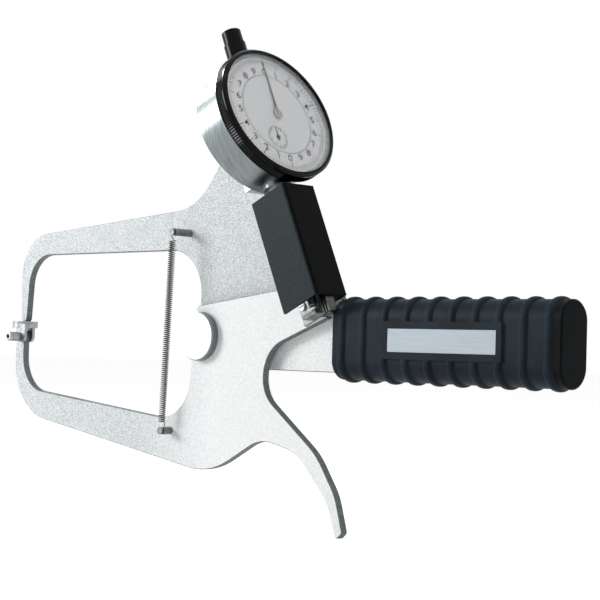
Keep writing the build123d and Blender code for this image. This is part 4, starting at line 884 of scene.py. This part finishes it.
def area_light(name, place, target, size, power):
    """A square soft light that faces a point."""
    lamp = bpy.data.lights.new(name, "AREA")
    lamp.size = size
    lamp.energy = power
    holder = bpy.data.objects.new(name, lamp)
    bpy.context.scene.collection.objects.link(holder)
    away = np.array(place) - np.array(target)
    away /= np.linalg.norm(away)
    side = np.cross((0.0, 0.0, 1.0), away)
    side /= np.linalg.norm(side)
    up = np.cross(away, side)
    turn = Matrix(np.column_stack([side, up, away]).tolist()).to_4x4()
    holder.matrix_world = Matrix.Translation(place) @ turn
    return holder


def seen_directly(tree):
    """1 for rays from the camera, from gloss or through glass, and 0 for others."""
    path = node(tree, "ShaderNodeLightPath")
    first = node(
        tree, "ShaderNodeMath",
        {0: path.outputs["Is Camera Ray"], 1: path.outputs["Is Glossy Ray"]}, operation="MAXIMUM",
    )
    return node(
        tree, "ShaderNodeMath",
        {0: first.outputs[0], 1: path.outputs["Is Transmission Ray"]}, operation="MAXIMUM",
    ).outputs[0]


class GAUGE_OT_studio(bpy.types.Operator):
    """Sets the pale floor, the soft lights and the camera at the photograph's angle"""

    bl_idname = "gauge.studio"
    bl_label = "Studio"

    def execute(self, context):
        settings = context.scene.gauge_studio
        scene = context.scene
        scene.view_settings.view_transform = "Standard"
        white = (*settings.backdrop, 1.0)
        world = bpy.data.worlds.new("studio")
        scene.world = world
        world.use_nodes = True
        tree = world.node_tree
        tree.nodes.clear()
        plain = node(tree, "ShaderNodeBackground", {"Color": white, "Strength": WORLD_STRENGTH})
        shown = node(tree, "ShaderNodeBackground", {"Color": white, "Strength": 1.0})
        mixed = node(
            tree, "ShaderNodeMixShader",
            {0: seen_directly(tree), 1: plain.outputs[0], 2: shown.outputs[0]},
        )
        node(tree, "ShaderNodeOutputWorld", {"Surface": mixed.outputs[0]})
        # The floor glows to the camera and is partly lit by the lamps, so it keeps a soft
        # shadow and stays pale.
        material, tree, place = new_material("pale_floor_paint")
        cloth = grain(tree, place, 40.0)
        paint = node(
            tree, "ShaderNodeBsdfDiffuse", {"Color": two_tone(tree, cloth, "#f4f4f4", "#fafafa")}
        )
        glow = node(tree, "ShaderNodeEmission", {"Color": white, "Strength": FLOOR_GLOW})
        both = node(
            tree, "ShaderNodeMixShader", {0: GLOW_SHARE, 1: paint.outputs[0], 2: glow.outputs[0]}
        )
        lit = node(
            tree, "ShaderNodeMixShader",
            {0: seen_directly(tree), 1: paint.outputs[0], 2: both.outputs[0]},
        )
        finish_material(material, tree, lit)
        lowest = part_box("lever_plate")[0].z
        square = np.array([(-1, -1, 0), (1, -1, 0), (1, 1, 0), (-1, 1, 0)])
        corners = FLOOR_REACH * square + np.array([0, 0, lowest])
        floor = add_piece("floor", corners, [[0, 1, 2, 3]], material, None)
        for name, (place, size, power) in LIGHTS.items():
            area_light(name, place, TARGET, size, getattr(settings, power))
        camera = bpy.data.cameras.new("camera")
        camera.sensor_width = 36.0
        camera.lens = CAMERA_LENS_MM
        holder = bpy.data.objects.new("camera", camera)
        scene.collection.objects.link(holder)
        turn = (
            Matrix.Rotation(math.radians(CAMERA_ROLL), 3, "Z")
            @ Matrix.Rotation(math.radians(CAMERA_PITCH), 3, "X")
            @ Matrix(((1, 0, 0), (0, 0, -1), (0, 1, 0)))
            @ Matrix.Rotation(math.radians(-CAMERA_YAW), 3, "Z")
        )
        holder.matrix_world = (
            Matrix.Translation(CAMERA_PLACE)
            @ (turn.transposed() @ Matrix.Diagonal((1, -1, -1))).to_4x4()
        )
        scene.camera = holder
        return {"FINISHED"}


class GAUGE_PT_panel(bpy.types.Panel):
    """Lists the gauge's pieces and their sizes"""

    bl_idname = "GAUGE_PT_panel"
    bl_label = "Dial caliper gauge"
    bl_space_type = "VIEW_3D"
    bl_region_type = "UI"
    bl_category = "Gauge"

    def draw(self, context):
        scene = context.scene
        for group in (scene.gauge_dial, scene.gauge_spring, scene.gauge_grip, scene.gauge_studio):
            box = self.layout.box()
            for name in group.__annotations__:
                box.prop(group, name)
        for operator in OPERATORS:
            self.layout.operator(operator.bl_idname)


OPERATORS = (
    GAUGE_OT_finishes,
    GAUGE_OT_dial_print,
    GAUGE_OT_spring,
    GAUGE_OT_grip,
    GAUGE_OT_studio,
)
GROUPS = {
    "gauge_dial": DialSettings,
    "gauge_spring": SpringSettings,
    "gauge_grip": GripSettings,
    "gauge_studio": StudioSettings,
}


def register():
    for group in (*GROUPS.values(), *OPERATORS, GAUGE_PT_panel):
        bpy.utils.register_class(group)
    for name, group in GROUPS.items():
        setattr(bpy.types.Scene, name, PointerProperty(type=group))


def unregister():
    for name in GROUPS:
        delattr(bpy.types.Scene, name)
    for group in (GAUGE_PT_panel, *reversed(OPERATORS), *reversed(GROUPS.values())):
        bpy.utils.unregister_class(group)


def main():
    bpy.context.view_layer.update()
    register()
    bpy.ops.gauge.finishes()
    bpy.ops.gauge.dial_print()
    bpy.ops.gauge.spring()
    bpy.ops.gauge.grip()
    bpy.ops.gauge.studio()
    bpy.context.view_layer.update()


if __name__ == "__main__":
    main()
